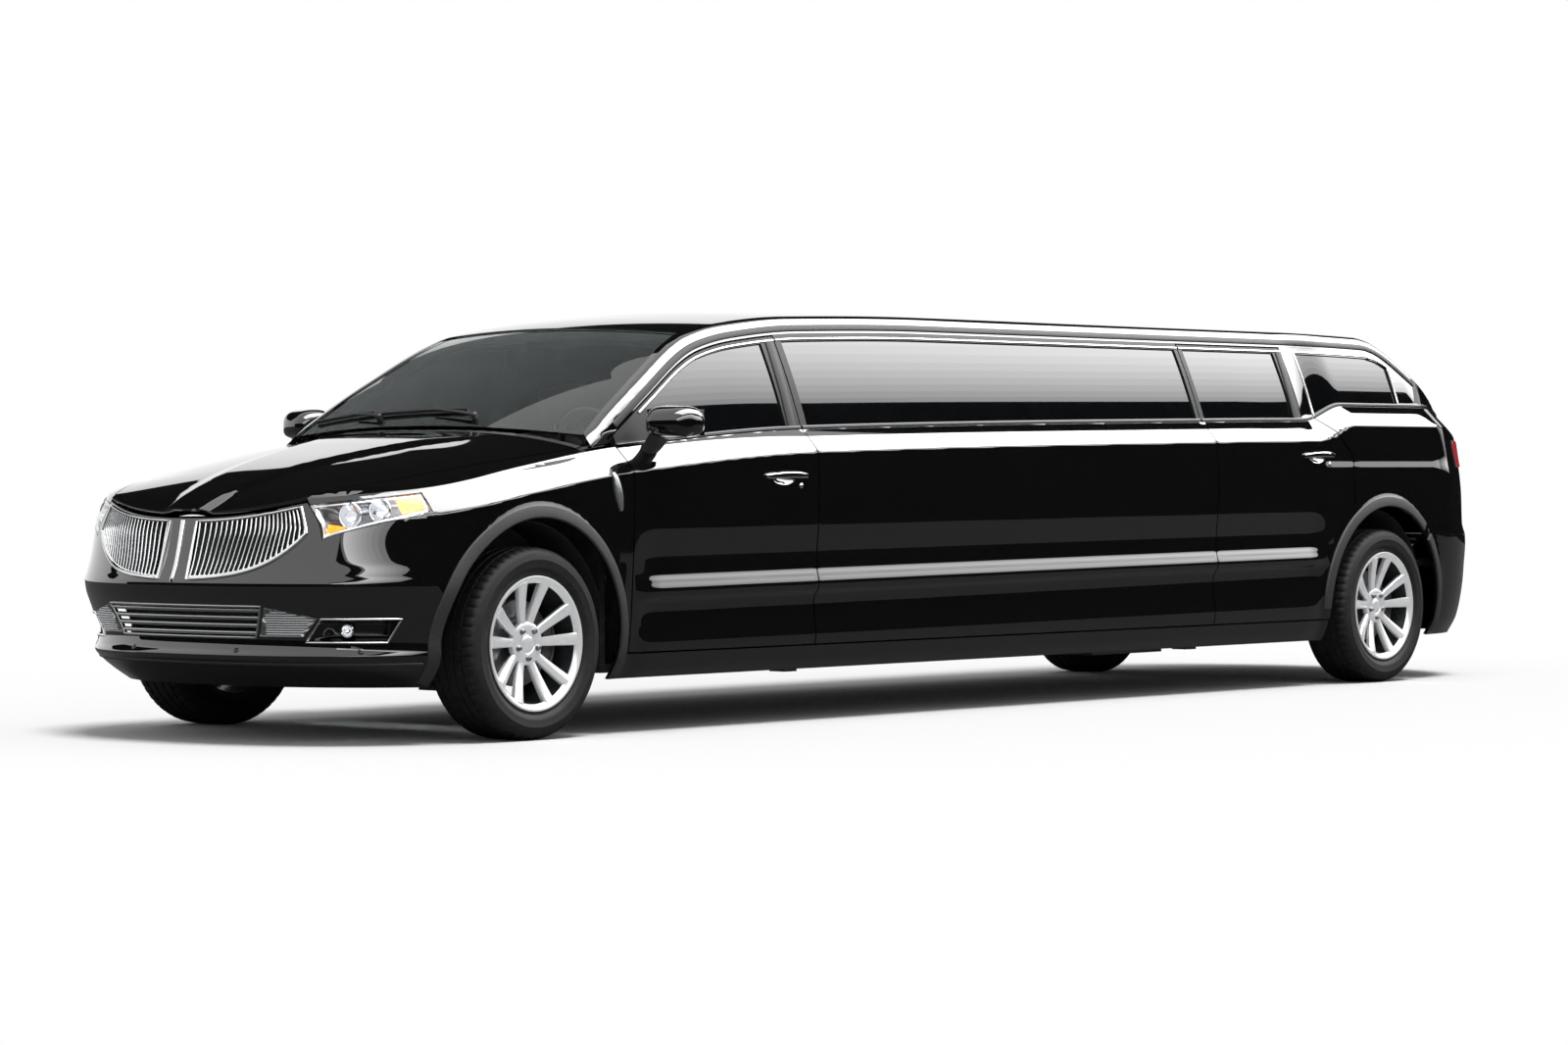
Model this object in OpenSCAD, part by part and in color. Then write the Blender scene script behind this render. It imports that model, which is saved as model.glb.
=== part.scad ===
// A stretch limousine made from a four-door crossover car, 8.3 m long.
// +X is forward, +Y is the car's left and +Z is up, in mm.
// The origin lies on the ground under the middle of the length.

/* [Overall] */
// Distance between the front and the rear axle
wheelbase = 6043; // [5600:1:6500]
// Front axle to the nose
front_overhang = 1010; // [990:1:1040]
// Rear axle to the tail
rear_overhang = 1268; // [1240:1:1300]
// Width over the body's sides, without the mirrors
body_w = 1920; // [1890:1:1950]
// Height of the roof's centre line
roof_z = 1712; // [1695:1:1730]

/* [Body lines] */
// Underside of the sills
sill_z = 215; // [205:1:225]
// Lower edge of the doors
door_z = 318; // [310:1:326]
// Height where the shoulder starts to roll in
waist_z = 1090; // [1075:1:1105]
// Belt line at the front edge of the front door
belt_front_z = 1120; // [1105:1:1135]
// Belt line at the rear edge of the front door
belt_mid_z = 1200; // [1190:1:1210]
// Belt line at the rear door
belt_rear_z = 1262; // [1250:1:1275]
// Belt line behind its kick
belt_kick_z = 1336; // [1325:1:1345]
// Shoulder above the front axle
fender_z = 1045; // [1035:1:1055]
// Shoulder above the rear end of the headlamp
lamp_z = 968; // [960:1:976]
// Height of the hood's front edge
hood_edge_z = 868; // [860:1:876]
// Height of the hood at the cowl
cowl_z = 1188; // [1180:1:1196]
// Height of the tail's lip
lip_z = 1278; // [1270:1:1286]
// Greatest depth of the side's shape below its widest place
side_depth = 80; // [70:1:90]
// Rise of the lower ridge from the front door to the rear one
ridge_rise = 60; // [40:1:70]
// Width of the shoulder's roll to the belt
shoulder_in = 88; // [80:1:96]
// Height of the shoulder's roll
shoulder_h = 112; // [100:1:120]
// Lean of the side glass, share of its height
glass_lean_share = 0.32; // [0.28:0.01:0.36]
// Curl of the side glass over its height
glass_curl = 40; // [30:1:50]
// Length of the rounded corners seen from above
corner_d = 750; // [700:1:800]
// Depth of the front's shape
front_depth = 190; // [170:1:200]
// Depth of the tail's shape
rear_depth = 140; // [130:1:150]

/* [Doors and openings] */
// Front axle to the front door's front edge
door1_set = 548; // [540:1:560]
// Length of the front door
door1_l = 1142; // [1100:1:1180]
// Rear edge of the rear door ahead of the rear axle
door2_set = 292; // [280:1:300]
// Length of the rear door
door2_l = 1155; // [1120:1:1190]
// Thickness of the doors and of the side walls below the belt
door_t = 115; // [105:1:125]
// Thickness of the window frames
frame_t = 42; // [36:1:46]
// Thickness of the single skins
skin_t = 22; // [18:1:24]
// Gap round a door, the hood and the tailgate
shut = 7; // [6:1:8]
// Radius of the wheel arches
arch_r = 478; // [470:1:486]
// Front axle to the middle of the cowl
cowl_set = 300; // [290:1:310]
// Front axle to the top of the windscreen
header_set = 1120; // [1105:1:1135]
// Rear axle to the roof's rear end
roof_end_set = 170; // [155:1:185]
// Height of the roof's side rail above the side windows' frames
rail_h = 72; // [64:1:80]

/* [Wheels] */
// Rolling radius of the tyre
tyre_r = 369; // [360:1:375]
// Width of the tyre
tyre_w = 255; // [245:1:260]
// Radius of the rim's flange
rim_r = 268; // [262:1:274]
// Distance between the wheels of one axle
track = 1652; // [1640:1:1660]
// Number of spokes
spokes = 10; // [8:1:12]
// Number of wheel bolts
lugs = 5; // [4:1:6]
// Radius of the circle of wheel bolts
lug_pcr = 57; // [54:1:60]

/* [Hinges] */
// Radius of a hinge's barrel
barrel_r = 11; // [10:1:12]
// Radius of a hinge's pin
pin_r = 6; // [5:0.5:7]
// Height of one hinge lug
lug_h = 40; // [34:1:46]
// Door's front edge to its hinge line
hinge_set = 80; // [76:1:86]
// Hinge line inside the widest place of the side
hinge_in = 55; // [52:1:58]

/* [Hidden] */
fit = 0.3;
run = 0.05;
seam = 0.6;
over = 40;
len_all = wheelbase + front_overhang + rear_overhang;
nose_x = len_all / 2;
tail_x = -len_all / 2;
fax = nose_x - front_overhang;
rax = fax - wheelbase;
half_w = body_w / 2;
inner_y = half_w - door_t;
door1_f = fax - door1_set;
door1_r = door1_f - door1_l;
door2_r = rax + door2_set;
door2_f = door2_r + door2_l;
cowl_x = fax - cowl_set;
header_x = fax - header_set;
header_z = roof_z * 0.943;
roof_end_x = rax - roof_end_set;
roof_end_z = roof_z * 0.995;
lip_x = tail_x + rear_depth;
kick_f = door2_r + door2_l * 0.24;
kick_r = door2_r - door2_set * 0.16;
seam_x = fax + arch_r + skin_t + shut;
bow = body_w * 0.036;
bow_y = body_w * 0.365;
roof_drop = roof_z * 0.018;
glass_h = roof_z * 0.251;
flare_w = arch_r * 0.17;
flare_out = side_depth * 0.16;
hinge_y = half_w - hinge_in;
hinge1_x = door1_f - hinge_set;
hinge2_x = door2_f - hinge_set;
seam2_x = rax - arch_r - skin_t - shut;
pillar_w = frame_t * 1.2;
hood_t = skin_t * 0.8;
roof_t = skin_t * 1.8;
glass_t = frame_t * 0.12;
bumper_t = skin_t * 1.15;
bumper2_z = mix(sill_z, lip_z, 0.46);
door2_w = door2_r + door2_l * 0.26;
cant = shut * 3;

$fn = 48;

// Exponents of the rounded corners seen from above
corner_n = 2.2;
corner_m = 2.4;
// Exponent of the hood's crown
hood_n = 2.6;

// The side below the waist: columns are height share and depth share, plain and with the ridge
plain_shares = [
  [0, 0.94], [0.097, 0.5], [0.234, 0.31], [0.383, 0.2], [0.55, 0.11], [0.72, 0.04],
  [0.82, 0.02], [0.91, 0.05], [1, 0.15], [1.4, 0.3]];
ridge_shares = [
  [0, 0.94], [0.04, 0.6], [0.097, 0.375], [0.157, 0.25], [0.234, 0.42], [0.291, 0.475], [0.331, 0.375],
  [0.36, 0.1], [0.383, 0.03], [0.429, 0.125], [0.469, 0.25], [0.531, 0.21], [0.669, 0.08], [0.817, 0.02],
  [0.909, 0.05], [1, 0.15], [1.4, 0.3]];
ridge_share = 0.383;
// The front and the tail: columns are height share and depth share
front_shares = [
  [0, 1], [0.07, 0.63], [0.13, 0.37], [0.185, 0.2], [0.22, 0.28], [0.28, 0.32], [0.4, 0.21], [0.467, 0.115],
  [0.53, 0.03], [0.59, 0], [0.65, 0.07], [0.72, 0.16], [1, 0.39]];
rear_shares = [
  [0, 0.54], [0.08, 0.32], [0.155, 0.18], [0.25, 0.07], [0.325, 0.04], [0.4, 0], [0.456, 0.04], [0.494, 0.21],
  [0.513, 0.27], [0.645, 0.375], [0.83, 0.59], [0.927, 0.77], [1, 1]];

// Lines along the car: columns are place and height
belt_line = [
  [tail_x, lip_z - shoulder_in * 0.5], [mix(lip_x, rax, 0.22), lip_z - skin_t * 0.5],
  [mix(lip_x, rax, 0.6), belt_kick_z],
  [kick_r, belt_kick_z], [kick_f, belt_rear_z],
  [mix(door2_f, kick_f, 0.4), mix(belt_mid_z, belt_rear_z, 0.9)],
  [door1_r, belt_mid_z], [door1_f, belt_front_z], [fax, fender_z], [mix(fax, nose_x, 0.45), lamp_z],
  [mix(fax, nose_x, 0.78), mix(hood_edge_z, lamp_z, 0.6)], [nose_x, hood_edge_z]];
hood_line = [
  [cowl_x - cowl_set, cowl_z + (cowl_z - fender_z) * 0.7], [cowl_x, cowl_z],
  [mix(cowl_x, nose_x, 0.31), mix(hood_edge_z, cowl_z, 0.78)],
  [mix(cowl_x, nose_x, 0.63), mix(hood_edge_z, cowl_z, 0.51)],
  [mix(cowl_x, nose_x, 0.85), mix(hood_edge_z, cowl_z, 0.22)], [mix(cowl_x, nose_x, 0.95), hood_edge_z]];
cabin_line = [
  [lip_x, lip_z], [mix(lip_x, roof_end_x, 0.5), mix(lip_z, roof_end_z, 0.56)], [roof_end_x, roof_end_z],
  [mix(roof_end_x, header_x, 0.12), roof_z], [mix(roof_end_x, header_x, 0.7), roof_z],
  [mix(roof_end_x, header_x, 0.87), mix(header_z, roof_z, 0.83)],
  [mix(roof_end_x, header_x, 0.95), mix(header_z, roof_z, 0.48)], [header_x, header_z],
  [mix(header_x, cowl_x, 0.5), mix(header_z, cowl_z, 0.44)], [cowl_x, cowl_z],
  [cowl_x + cowl_set, cowl_z - (header_z - cowl_z) * 0.5]];
hood_side_shares = [[0, 0.84], [0.35, 0.78], [0.7, 0.66], [0.9, 0.52], [1, 0.45]];

// Numbers between 0 and 1, mixes and smooth curves through tables
function unit(v) = min(max(v, 0), 1);
function mix(a, b, s) = a + (b - a) * s;
function smooth(a, b, v) = let (s = unit((v - a) / (b - a))) s * s * (3 - 2 * s);
function cell(t, v, i = 0) = (i >= len(t) - 2 || v < t[i + 1][0]) ? i : cell(t, v, i + 1);
function rise(t, i) = (t[i + 1][1] - t[i][1]) / (t[i + 1][0] - t[i][0]);
function tangent(t, i) =
  i == 0 ? rise(t, 0)
  : i == len(t) - 1 ? rise(t, i - 1)
  : rise(t, i - 1) * rise(t, i) <= 0 ? 0
  : 2 * rise(t, i - 1) * rise(t, i) / (rise(t, i - 1) + rise(t, i));
function curve(t, v) =
  let (i = cell(t, v), h = t[i + 1][0] - t[i][0], s = unit((v - t[i][0]) / h), a = 1 - s)
  (1 + 2 * s) * a * a * t[i][1] + s * a * a * h * tangent(t, i)
  + s * s * (3 - 2 * s) * t[i + 1][1] - s * s * a * h * tangent(t, i + 1);

// The body's side: half width at a place along the car and a height
function belt(x) = curve(belt_line, x);
function ridge_on(x) =
  smooth(rax + arch_r * 1.02, rax + arch_r * 1.4, x) * (1 - smooth(door1_f - arch_r * 0.3, door1_f, x));
function ridge_shift(x, z) =
  let (q = (z - sill_z) / (waist_z - sill_z))
  ridge_rise * unit((door1_f - x) / (door1_f - door2_r))
    * unit(min(q / ridge_share, (1 - q) / (1 - ridge_share)));
function inset(x, z) =
  let (q = (z - sill_z) / (waist_z - sill_z), p = (z - ridge_shift(x, z) - sill_z) / (waist_z - sill_z))
  side_depth * mix(curve(plain_shares, q), curve(ridge_shares, p), ridge_on(x))
  + shoulder_in * pow(unit(1 - (belt(x) - z) / shoulder_h), 2);
function arch_flare(x, z, ax) =
  flare_out * (1 - smooth(arch_r, arch_r + flare_w, norm([x - ax, z - tyre_r])));
function flare(x, z) = arch_flare(x, z, fax) + arch_flare(x, z, rax);
function front_in(z) = front_depth * curve(front_shares, (z - sill_z) / (hood_edge_z - sill_z));
function rear_in(z) = rear_depth * curve(rear_shares, (z - sill_z) / (lip_z - sill_z));
function plan_share(x, z) =
  let (f = (x - (nose_x - front_in(z) - corner_d)) / corner_d,
      r = (tail_x + rear_in(z) + corner_d - x) / corner_d)
  pow(1 - pow(min(max(f, r, 0), 0.999), corner_n), 1 / corner_m);
function low_y(x, z) = plan_share(x, z) * (half_w - inset(x, z)) + flare(x, z);
function side_y(x, z) =
  let (b = belt(x))
  z <= b ? low_y(x, z) : low_y(x, b) - glass_lean_share * (z - b) - glass_curl * pow((z - b) / glass_h, 2);

// Points of the rounded ends, t inside the skin: angle 0 is the middle, 90 the side
function nose_pt(a, z, t = 0) =
  let (x = nose_x - t - front_in(z) - corner_d * (1 - pow(cos(a), 2 / corner_n)))
  [x, (half_w - t - inset(x, z)) * pow(sin(a), 2 / corner_m) + flare(x, z), z];
function tail_pt(a, z, t = 0) =
  let (x = tail_x + t + rear_in(z) + corner_d * (1 - pow(cos(a), 2 / corner_n)))
  [x, (half_w - t - inset(x, z)) * pow(sin(a), 2 / corner_m) + flare(x, z), z];

// Hood, windscreen, roof and rear glass: height at a place seen from above
function hood_z(x, y) =
  let (b = belt(x), e = low_y(min(x, seam_x), belt(min(x, seam_x))))
  b + (curve(hood_line, x) - b) * (1 - pow(min(abs(y) / e, 1), hood_n));
function bow_at(y) = bow * pow(abs(y) / bow_y, 2);
function cabin_x(c, y) = c > 0 ? c - bow_at(y) : c + bow_at(y);
function cabin_z(x, y) =
  curve(cabin_line, x > 0 ? x + bow_at(y) : x - bow_at(y)) - roof_drop * pow(abs(y) / bow_y, 2);
function rail_z(x, y) = x < gate_x0 ? min(cabin_z(x, y), gate_edge_z(x) - roof_drop * 0.6) : cabin_z(x, y);
function rail_y(x, y, n = 5) = n == 0 ? y : rail_y(x, side_y(x, rail_z(x, y)), n - 1);
function rail(x) = let (y = rail_y(x, bow_y)) [y, rail_z(x, y)];
function hood_half(x) = half_w * curve(hood_side_shares, (x - cowl_x + bow) / (nose_x - cowl_x + bow));

// A closed plate between an outer and an inner grid of points, without the cells that open() names
module slab(p, q, open = function (i, j) false) {
  n = len(p);
  m = len(p[0]);
  o = function (i, j) i * m + j;
  k = function (i, j) n * m + i * m + j;
  on = function (i, j) i >= 0 && j >= 0 && i < n - 1 && j < m - 1 && !open(i, j);
  polyhedron(
    points = concat([for (r = p, v = r) v], [for (r = q, v = r) v]),
    faces = concat(
      [for (i = [0 : n - 2], j = [0 : m - 2]) if (on(i, j)) each [
        [o(i, j), o(i + 1, j + 1), o(i + 1, j)], [o(i, j), o(i, j + 1), o(i + 1, j + 1)],
        [k(i, j), k(i + 1, j), k(i + 1, j + 1)], [k(i, j), k(i + 1, j + 1), k(i, j + 1)]]],
      [for (i = [0 : n - 2], j = [0 : m - 1]) if (on(i, j) && !on(i, j - 1)) each [
        [o(i, j), k(i + 1, j), k(i, j)], [o(i, j), o(i + 1, j), k(i + 1, j)]]],
      [for (i = [0 : n - 2], j = [0 : m - 1]) if (!on(i, j) && on(i, j - 1)) each [
        [o(i, j), k(i, j), k(i + 1, j)], [o(i, j), k(i + 1, j), o(i + 1, j)]]],
      [for (i = [0 : n - 1], j = [0 : m - 2]) if (on(i, j) && !on(i - 1, j)) each [
        [o(i, j), k(i, j), k(i, j + 1)], [o(i, j), k(i, j + 1), o(i, j + 1)]]],
      [for (i = [0 : n - 1], j = [0 : m - 2]) if (!on(i, j) && on(i - 1, j)) each [
        [o(i, j), k(i, j + 1), k(i, j)], [o(i, j), o(i, j + 1), k(i, j + 1)]]]));
}

module both() {
  children();
  mirror([0, 1, 0]) children();
}

// A prism through the car's side from an outline of places and heights
module side_cut(outline, y0, y1) {
  translate([0, y1, 0]) rotate([90, 0, 0]) linear_extrude(y1 - y0) polygon(outline);
}

// Rows of a side wall: shares of its height below and above the belt
wall_shares = [0, 0.1, 0.18, 0.26, 0.32, 0.38, 0.46, 0.58, 0.7, 0.82, 0.9, 0.96, 1];
glass_shares = [0.25, 0.6, 1];
sill_shares = [0, 0.3, 0.65, 1];
function wall_rows(x, z0, z1) =
  concat([for (s = wall_shares) mix(z0, belt(x), s)], [for (s = glass_shares) mix(belt(x), z1, s)]);
function top_z(x) =
  max(rail(x)[1] - rail_h * mix(0.2, 1, smooth(mix(roof_end_x, lip_x, 0.7), mix(roof_end_x, lip_x, 0.3), x)),
      belt(x) + shut);

// A side wall: columns are place, 1 for a single skin, and shift of the inner edge
module wall(xs, gap) {
  p = [for (c = xs) [for (z = wall_rows(c[0], door_z, top_z(c[0]) - gap)) [c[0], side_y(c[0], z), z]]];
  q = [for (c = xs) [for (z = wall_rows(c[0], door_z, top_z(c[0]) - gap))
    [c[0] + c[2], min(side_y(c[0], z) - (c[1] == 1 ? skin_t : frame_t), c[1] == 1 ? half_w : inner_y), z]]];
  slab(p, q);
}

// A window's outline from x0 back to x1, grown by g, and its pane
pane_n = 6;
frame_w = frame_t * 0.72;
base_w = frame_t * 0.3;
function pane_x(x0, x1, g) = [for (i = [0 : pane_n]) mix(x0 + g, x1 - g, i / pane_n)];
function pane_lo(x) = belt(x) + base_w;
function pane_hi(x) = max(top_z(x) - frame_w, pane_lo(x) + base_w);
module window_cut(x0, x1) {
  xs = pane_x(x0, x1, 0);
  side_cut(concat([for (x = xs) [x, pane_lo(x)]], [for (i = [pane_n : -1 : 0]) [xs[i], pane_hi(xs[i])]]),
    half_w / 2, half_w + over);
}
module pane(x0, x1) {
  xs = pane_x(x0, x1, -fit);
  function at(x, s, d) = let (z = mix(pane_lo(x) + fit, pane_hi(x) - fit, s)) [x, side_y(x, z) - d, z];
  slab([for (x = xs) [for (s = [0, 0.5, 1]) at(x, s, frame_w / 2)]],
    [for (x = xs) [for (s = [0, 0.5, 1]) at(x, s, frame_w / 2 + glass_t)]]);
}

// Front end: columns are shares of the way from the middle to the seam at the wheel arch
function nose_end(z, t) = acos(pow(unit(1 - (nose_x - t - front_in(z) - seam_x) / corner_d), corner_n / 2));
function nose_col(c, z, t = 0) = nose_pt(c * nose_end(z, t), z, t);
lamp_c = 0.53;
lamp_lean = 0.03;
function lamp_share(c) = (c - lamp_c) / (1 - lamp_c);
function corner_belt(c) = belt(nose_col(c, lamp_z)[0]);
function lamp_lo(c) =
  mix(mix(sill_z, hood_edge_z, 0.85), mix(hood_edge_z, lamp_z, 0.2), pow(lamp_share(c), 0.8));
function lamp_hi(c) = corner_belt(c) - mix(skin_t, skin_t * 2, lamp_share(c));
function hood_front_x(y) =
  nose_x - front_in(hood_edge_z)
    - corner_d * (1 - pow(1 - pow(abs(y) / (half_w * 0.94), corner_m), 1 / corner_n));
function brow_z(c) = let (y = nose_col(c, hood_edge_z)[1]) hood_z(hood_front_x(y), y) - hood_t - shut;

// Rear end: columns are shares of the way from the tailgate's side to the seam at the wheel arch
function tail_end(z, t) = acos(pow(unit(1 - (seam2_x - tail_x - t - rear_in(z)) / corner_d), corner_n / 2));
function tail_at(y, z, t) = asin(pow(unit(y / (half_w - t - inset(lip_x, z))), corner_m / 2));
function tail_col(c, y, z, t = 0) = tail_pt(mix(tail_at(y, z, t), tail_end(z, t), c), z, t);
gate_y = body_w * 0.365;
gate_top_y = body_w * 0.3;
// The tailgate's upper part: rows from the roof's end over the glass to the lip
gate_rows = [0, 0.12, 0.5, 0.88, 1];
function gate_half(s) = mix(gate_top_y, gate_y, pow(unit(s), 0.8));
function gate_upper(s, v, t) =
  let (y = v * gate_half(s), x0 = cabin_x(roof_end_x - shut * 1.6, y),
    x1 = tail_pt(tail_at(abs(y), lip_z, 0), lip_z)[0], c = mix(roof_end_x, lip_x, s))
  [mix(x0, x1, s) - (s == 0 ? t : 0), y,
    curve(cabin_line, c) - roof_drop * pow(abs(y) / bow_y, 2) * (1 - s * 0.7) - t];
gate_x0 = gate_upper(0, 1, 0)[0];
gate_x1 = gate_upper(1, 1, 0)[0];
function gate_edge_z(x) = gate_upper(unit((x - gate_x0) / (gate_x1 - gate_x0)), 1, 0)[2];

module front_bumper() {
  color("#0c0d10") difference() {
    front_shell();
    grille_cut();
    lower_cut();
    fog_cut();
    mirror([0, 1, 0]) grille_cut();
    mirror([0, 1, 0]) fog_cut();
    arch_cut(fax);
  }
}
front_rows = [0, 0.07, 0.13, 0.2, 0.28, 0.4, 0.48, 0.54, 0.6, 0.68, 0.84, 1];
half_cols = [0.08, 0.16, 0.26, 0.36, 0.44, 0.5, 0.53, 0.64, 0.76, 0.88, 1];
bumper_cols = concat([for (i = [len(half_cols) - 1 : -1 : 0]) -half_cols[i]], [0], half_cols);
function bumper_top(c) = c < lamp_c - lamp_lean / 2 ? brow_z(c) : lamp_lo(c) - seam;
function bumper_col(c, t) = [for (s = front_rows)
  let (p = nose_col(abs(c), mix(sill_z, bumper_top(abs(c)), s), t))
    [p[0] + (abs(c) == 1 ? seam : 0), p[1] * sign(c), p[2]]];
module front_shell() {
  slab([for (c = bumper_cols) bumper_col(c, 0)], [for (c = bumper_cols) bumper_col(c, bumper_t)]);
}
module arch_cut(ax) {
  translate([ax, -body_w, tyre_r]) rotate([-90, 0, 0]) cylinder(r = arch_r, h = body_w * 2);
}
module front_cut(outline) {
  translate([nose_x - corner_d, 0, 0]) rotate([90, 0, 90]) linear_extrude(corner_d + over) polygon(outline);
}

// Upper grille: one wing a side, columns are shares between its inner and outer end
grille_c = [0.04, 0.47];
grille_n = 20;
function grille_col(s) = mix(grille_c[0], grille_c[1], s);
function grille_lo(s) = mix(sill_z, hood_edge_z, 0.62 + 0.05 * s + 0.22 * pow(s, 3));
function grille_hi(s) = brow_z(grille_col(s)) - skin_t * 0.5;
function grille_pt(s, h, t) = nose_col(grille_col(s), mix(grille_lo(s), grille_hi(s), h), t);
module grille_cut() {
  front_cut(concat(
    [for (i = [0 : grille_n]) let (p = grille_pt(i / grille_n, 0, 0)) [p[1], p[2]]],
    [for (h = [rail_share, 1 - rail_share]) let (p = grille_pt(1, h, 0)) [p[1], p[2]]],
    [for (i = [grille_n : -1 : 0]) let (p = grille_pt(i / grille_n, 1, 0)) [p[1], p[2]]]));
}
slat_n = 19;
slat_share = 0.42;
slat_t = skin_t;
rail_share = 0.07;
slat_lean = 0.1;
grille_in = shut * 1.5;
// Columns run through both edges of each slat and through the ends
slat_cols = concat([0],
  [for (i = [0 : slat_n], e = [0, 1]) unit((i + e * slat_share + (1 - slat_share) / 2) / (slat_n + 1))], [1]);
function slat_pt(s, h, t) =
  let (a = unit(s + slat_lean * (h - 0.5) * 4 * s * (1 - s)),
      p = grille_pt(a, h, t + grille_in), q = grille_pt(a, h, 0))
  [p[0], q[1] + (s == 0 ? 2 * fit : s == 1 ? -2 * fit : 0), p[2] + (h < 0.5 ? 2 * fit : -2 * fit)];
module grille() {
  hs = [0, rail_share, 1 - rail_share, 1];
  color("#c9ccd1") both() slab(
    [for (s = slat_cols) [for (h = hs) slat_pt(s, h, 0)]],
    [for (s = slat_cols) [for (h = hs) slat_pt(s, h, slat_t)]],
    function (i, j) j == 1 && i % 2 == 0 && i > 0 && i < len(slat_cols) - 2);
}

// Lower grille with level bars, and a fog lamp either side
lower_c = 0.31;
lower_z = [0.29, 0.47];
fog_c = [0.56, 0.86];
fog_z = [0.265, 0.4];
function low_pt(c, h, t) = nose_col(c, mix(sill_z, hood_edge_z, h), t);
function mirrored(pts) = concat(pts, [for (i = [len(pts) - 1 : -1 : 0]) [-pts[i][0], pts[i][1]]]);
module lower_cut() {
  a = low_pt(lower_c, lower_z[0], 0);
  b = low_pt(lower_c * 1.12, lower_z[1], 0);
  front_cut(mirrored([[a[1], a[2]], [b[1], b[2]]]));
}
module fog_cut() {
  a = low_pt(fog_c[0], fog_z[0], 0);
  b = low_pt(fog_c[1], fog_z[0], 0);
  c = low_pt(fog_c[1], fog_z[1], 0);
  d = low_pt(fog_c[0], fog_z[1], 0);
  front_cut([[a[1], a[2]], [b[1], b[2]], [c[1], c[2]], [d[1], d[2]]]);
}
bar_n = 4;
lower_us = [-1, -0.9, -0.45, 0, 0.45, 0.9, 1];
module lower_grille() {
  n = 2 * bar_n;
  a = low_pt(lower_c, lower_z[0], 0);
  b = low_pt(lower_c * 1.12, lower_z[1], 0);
  function at(u, k, t) =
    let (s = k / n, p = low_pt(abs(u) * lower_c * mix(1, 1.12, s), mix(lower_z[0], lower_z[1], s), t),
      e = mix(a[1], b[1], s) - 2 * fit)
    [p[0], sign(u) * (abs(u) == 1 ? e : p[1]), p[2] + (k == 0 ? 2 * fit : k == n ? -2 * fit : 0)];
  color("#b9bcc1") slab(
    [for (u = lower_us) [for (k = [0 : n]) at(u, k, shut)]],
    [for (u = lower_us) [for (k = [0 : n]) at(u, k, bumper_t)]],
    function (i, j) j % 2 == 0 && i > 0 && i < len(lower_us) - 2);
}
module fog_lamps() {
  c0 = fog_c[0];
  c1 = fog_c[1];
  function at(c, h, t) =
    let (q = low_pt(c, h, 0), p = low_pt(c, h, t))
    [p[0], q[1] + (c == c0 ? 2 * fit : c == c1 ? -2 * fit : 0),
      p[2] + (h == fog_z[0] ? 2 * fit : -2 * fit)];
  cs = [c0, mix(c0, c1, 0.5), c1];
  color("#d5d8dc") both()
    slab([for (c = cs) [for (h = fog_z) at(c, h, shut)]],
      [for (c = cs) [for (h = fog_z) at(c, h, bumper_t + shut)]]);
}
module headlamps() {
  cs = concat([lamp_c], [for (i = [1 : len(strip_shares) - 1]) strip_shares[i]]);
  function at(c, s, t) =
    let (a = c == lamp_c ? mix(lamp_c, lamp_c - lamp_lean, s) + lamp_lean / 12 : c,
      p = nose_col(a, mix(lamp_lo(c) + seam, lamp_hi(c == lamp_c ? lamp_c - lamp_lean : c) - seam, s), t))
    [p[0] + (c == 1 ? seam : 0), p[1], p[2]];
  color("#dfe3e8") both()
    slab([for (c = cs) [for (s = [0, 0.5, 1]) at(c, s, shut / 7)]],
      [for (c = cs) [for (s = [0, 0.5, 1]) at(c, s, bumper_t)]]);
}

// Fenders: a strip from the nose over the headlamp to the seam, then the side back to the door
fender_shares = [1, 0.8, 0.6, 0.4, 0.2, 0.02, 0];
strip_shares = [0.51, 0.6, 0.7, 0.85, 1];
function fender_x(s) = mix(door1_f + shut / 2, seam_x, s);
function ledge(x, y0, t) =
  let (h = hood_half(x) + shut * 2.4)
  [for (s = [0.5, 1]) let (y = mix(y0, h, s)) [x, y, hood_z(x, y) - t]];
function fender_col(x, t, shift) =
  let (b = belt(x))
  concat(
    [for (s = wall_shares) let (z = mix(sill_z, b, s)) [x + shift, side_y(x, z) - t, z - (s == 1 ? t : 0)]],
    [for (v = ledge(x, low_y(x, b) - t, t)) [v[0] + shift, v[1], v[2]]]);
function strip_col(c, t) =
  let (b = corner_belt(c), e = nose_col(c, b, t), x = e[0], n = len(wall_shares) - 1)
  concat(
    [for (i = [0 : n]) let (p = nose_col(c, mix(lamp_hi(c), b, i / n), t))
      [p[0], p[1], p[2] - (i == n ? t : 0)]],
    ledge(x, e[1], t));
module fenders() {
  color("#0c0d10") both() difference() {
    slab(
      concat([for (c = strip_shares) strip_col(c, 0)],
        [for (s = fender_shares) fender_col(fender_x(s), 0, 0)]),
      concat([for (c = strip_shares) strip_col(c, skin_t)],
        [for (s = fender_shares) fender_col(fender_x(s), skin_t, s == 0 ? cant : 0)]));
    arch_cut(fax);
  }
}

// Doors, side walls and sills
function door_cols(f, r, xs) =
  concat([[f, 1, 0], [f - hinge_set - over * 0.7, 1, 0], [f - hinge_set - over * 0.75, 0, 0]],
    [for (x = xs) [x, 0, 0]], [[r, 0, cant * 0.6]]);
door1_glass = [mix(door1_f, door1_r, 0.2), mix(door1_f, door1_r, 0.92)];
door2_glass = [mix(door2_f, door2_r, 0.03), mix(door2_f, door2_w, 0.92)];
mid_glass = [door1_r - frame_t, door2_f + frame_t * 0.7];
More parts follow.
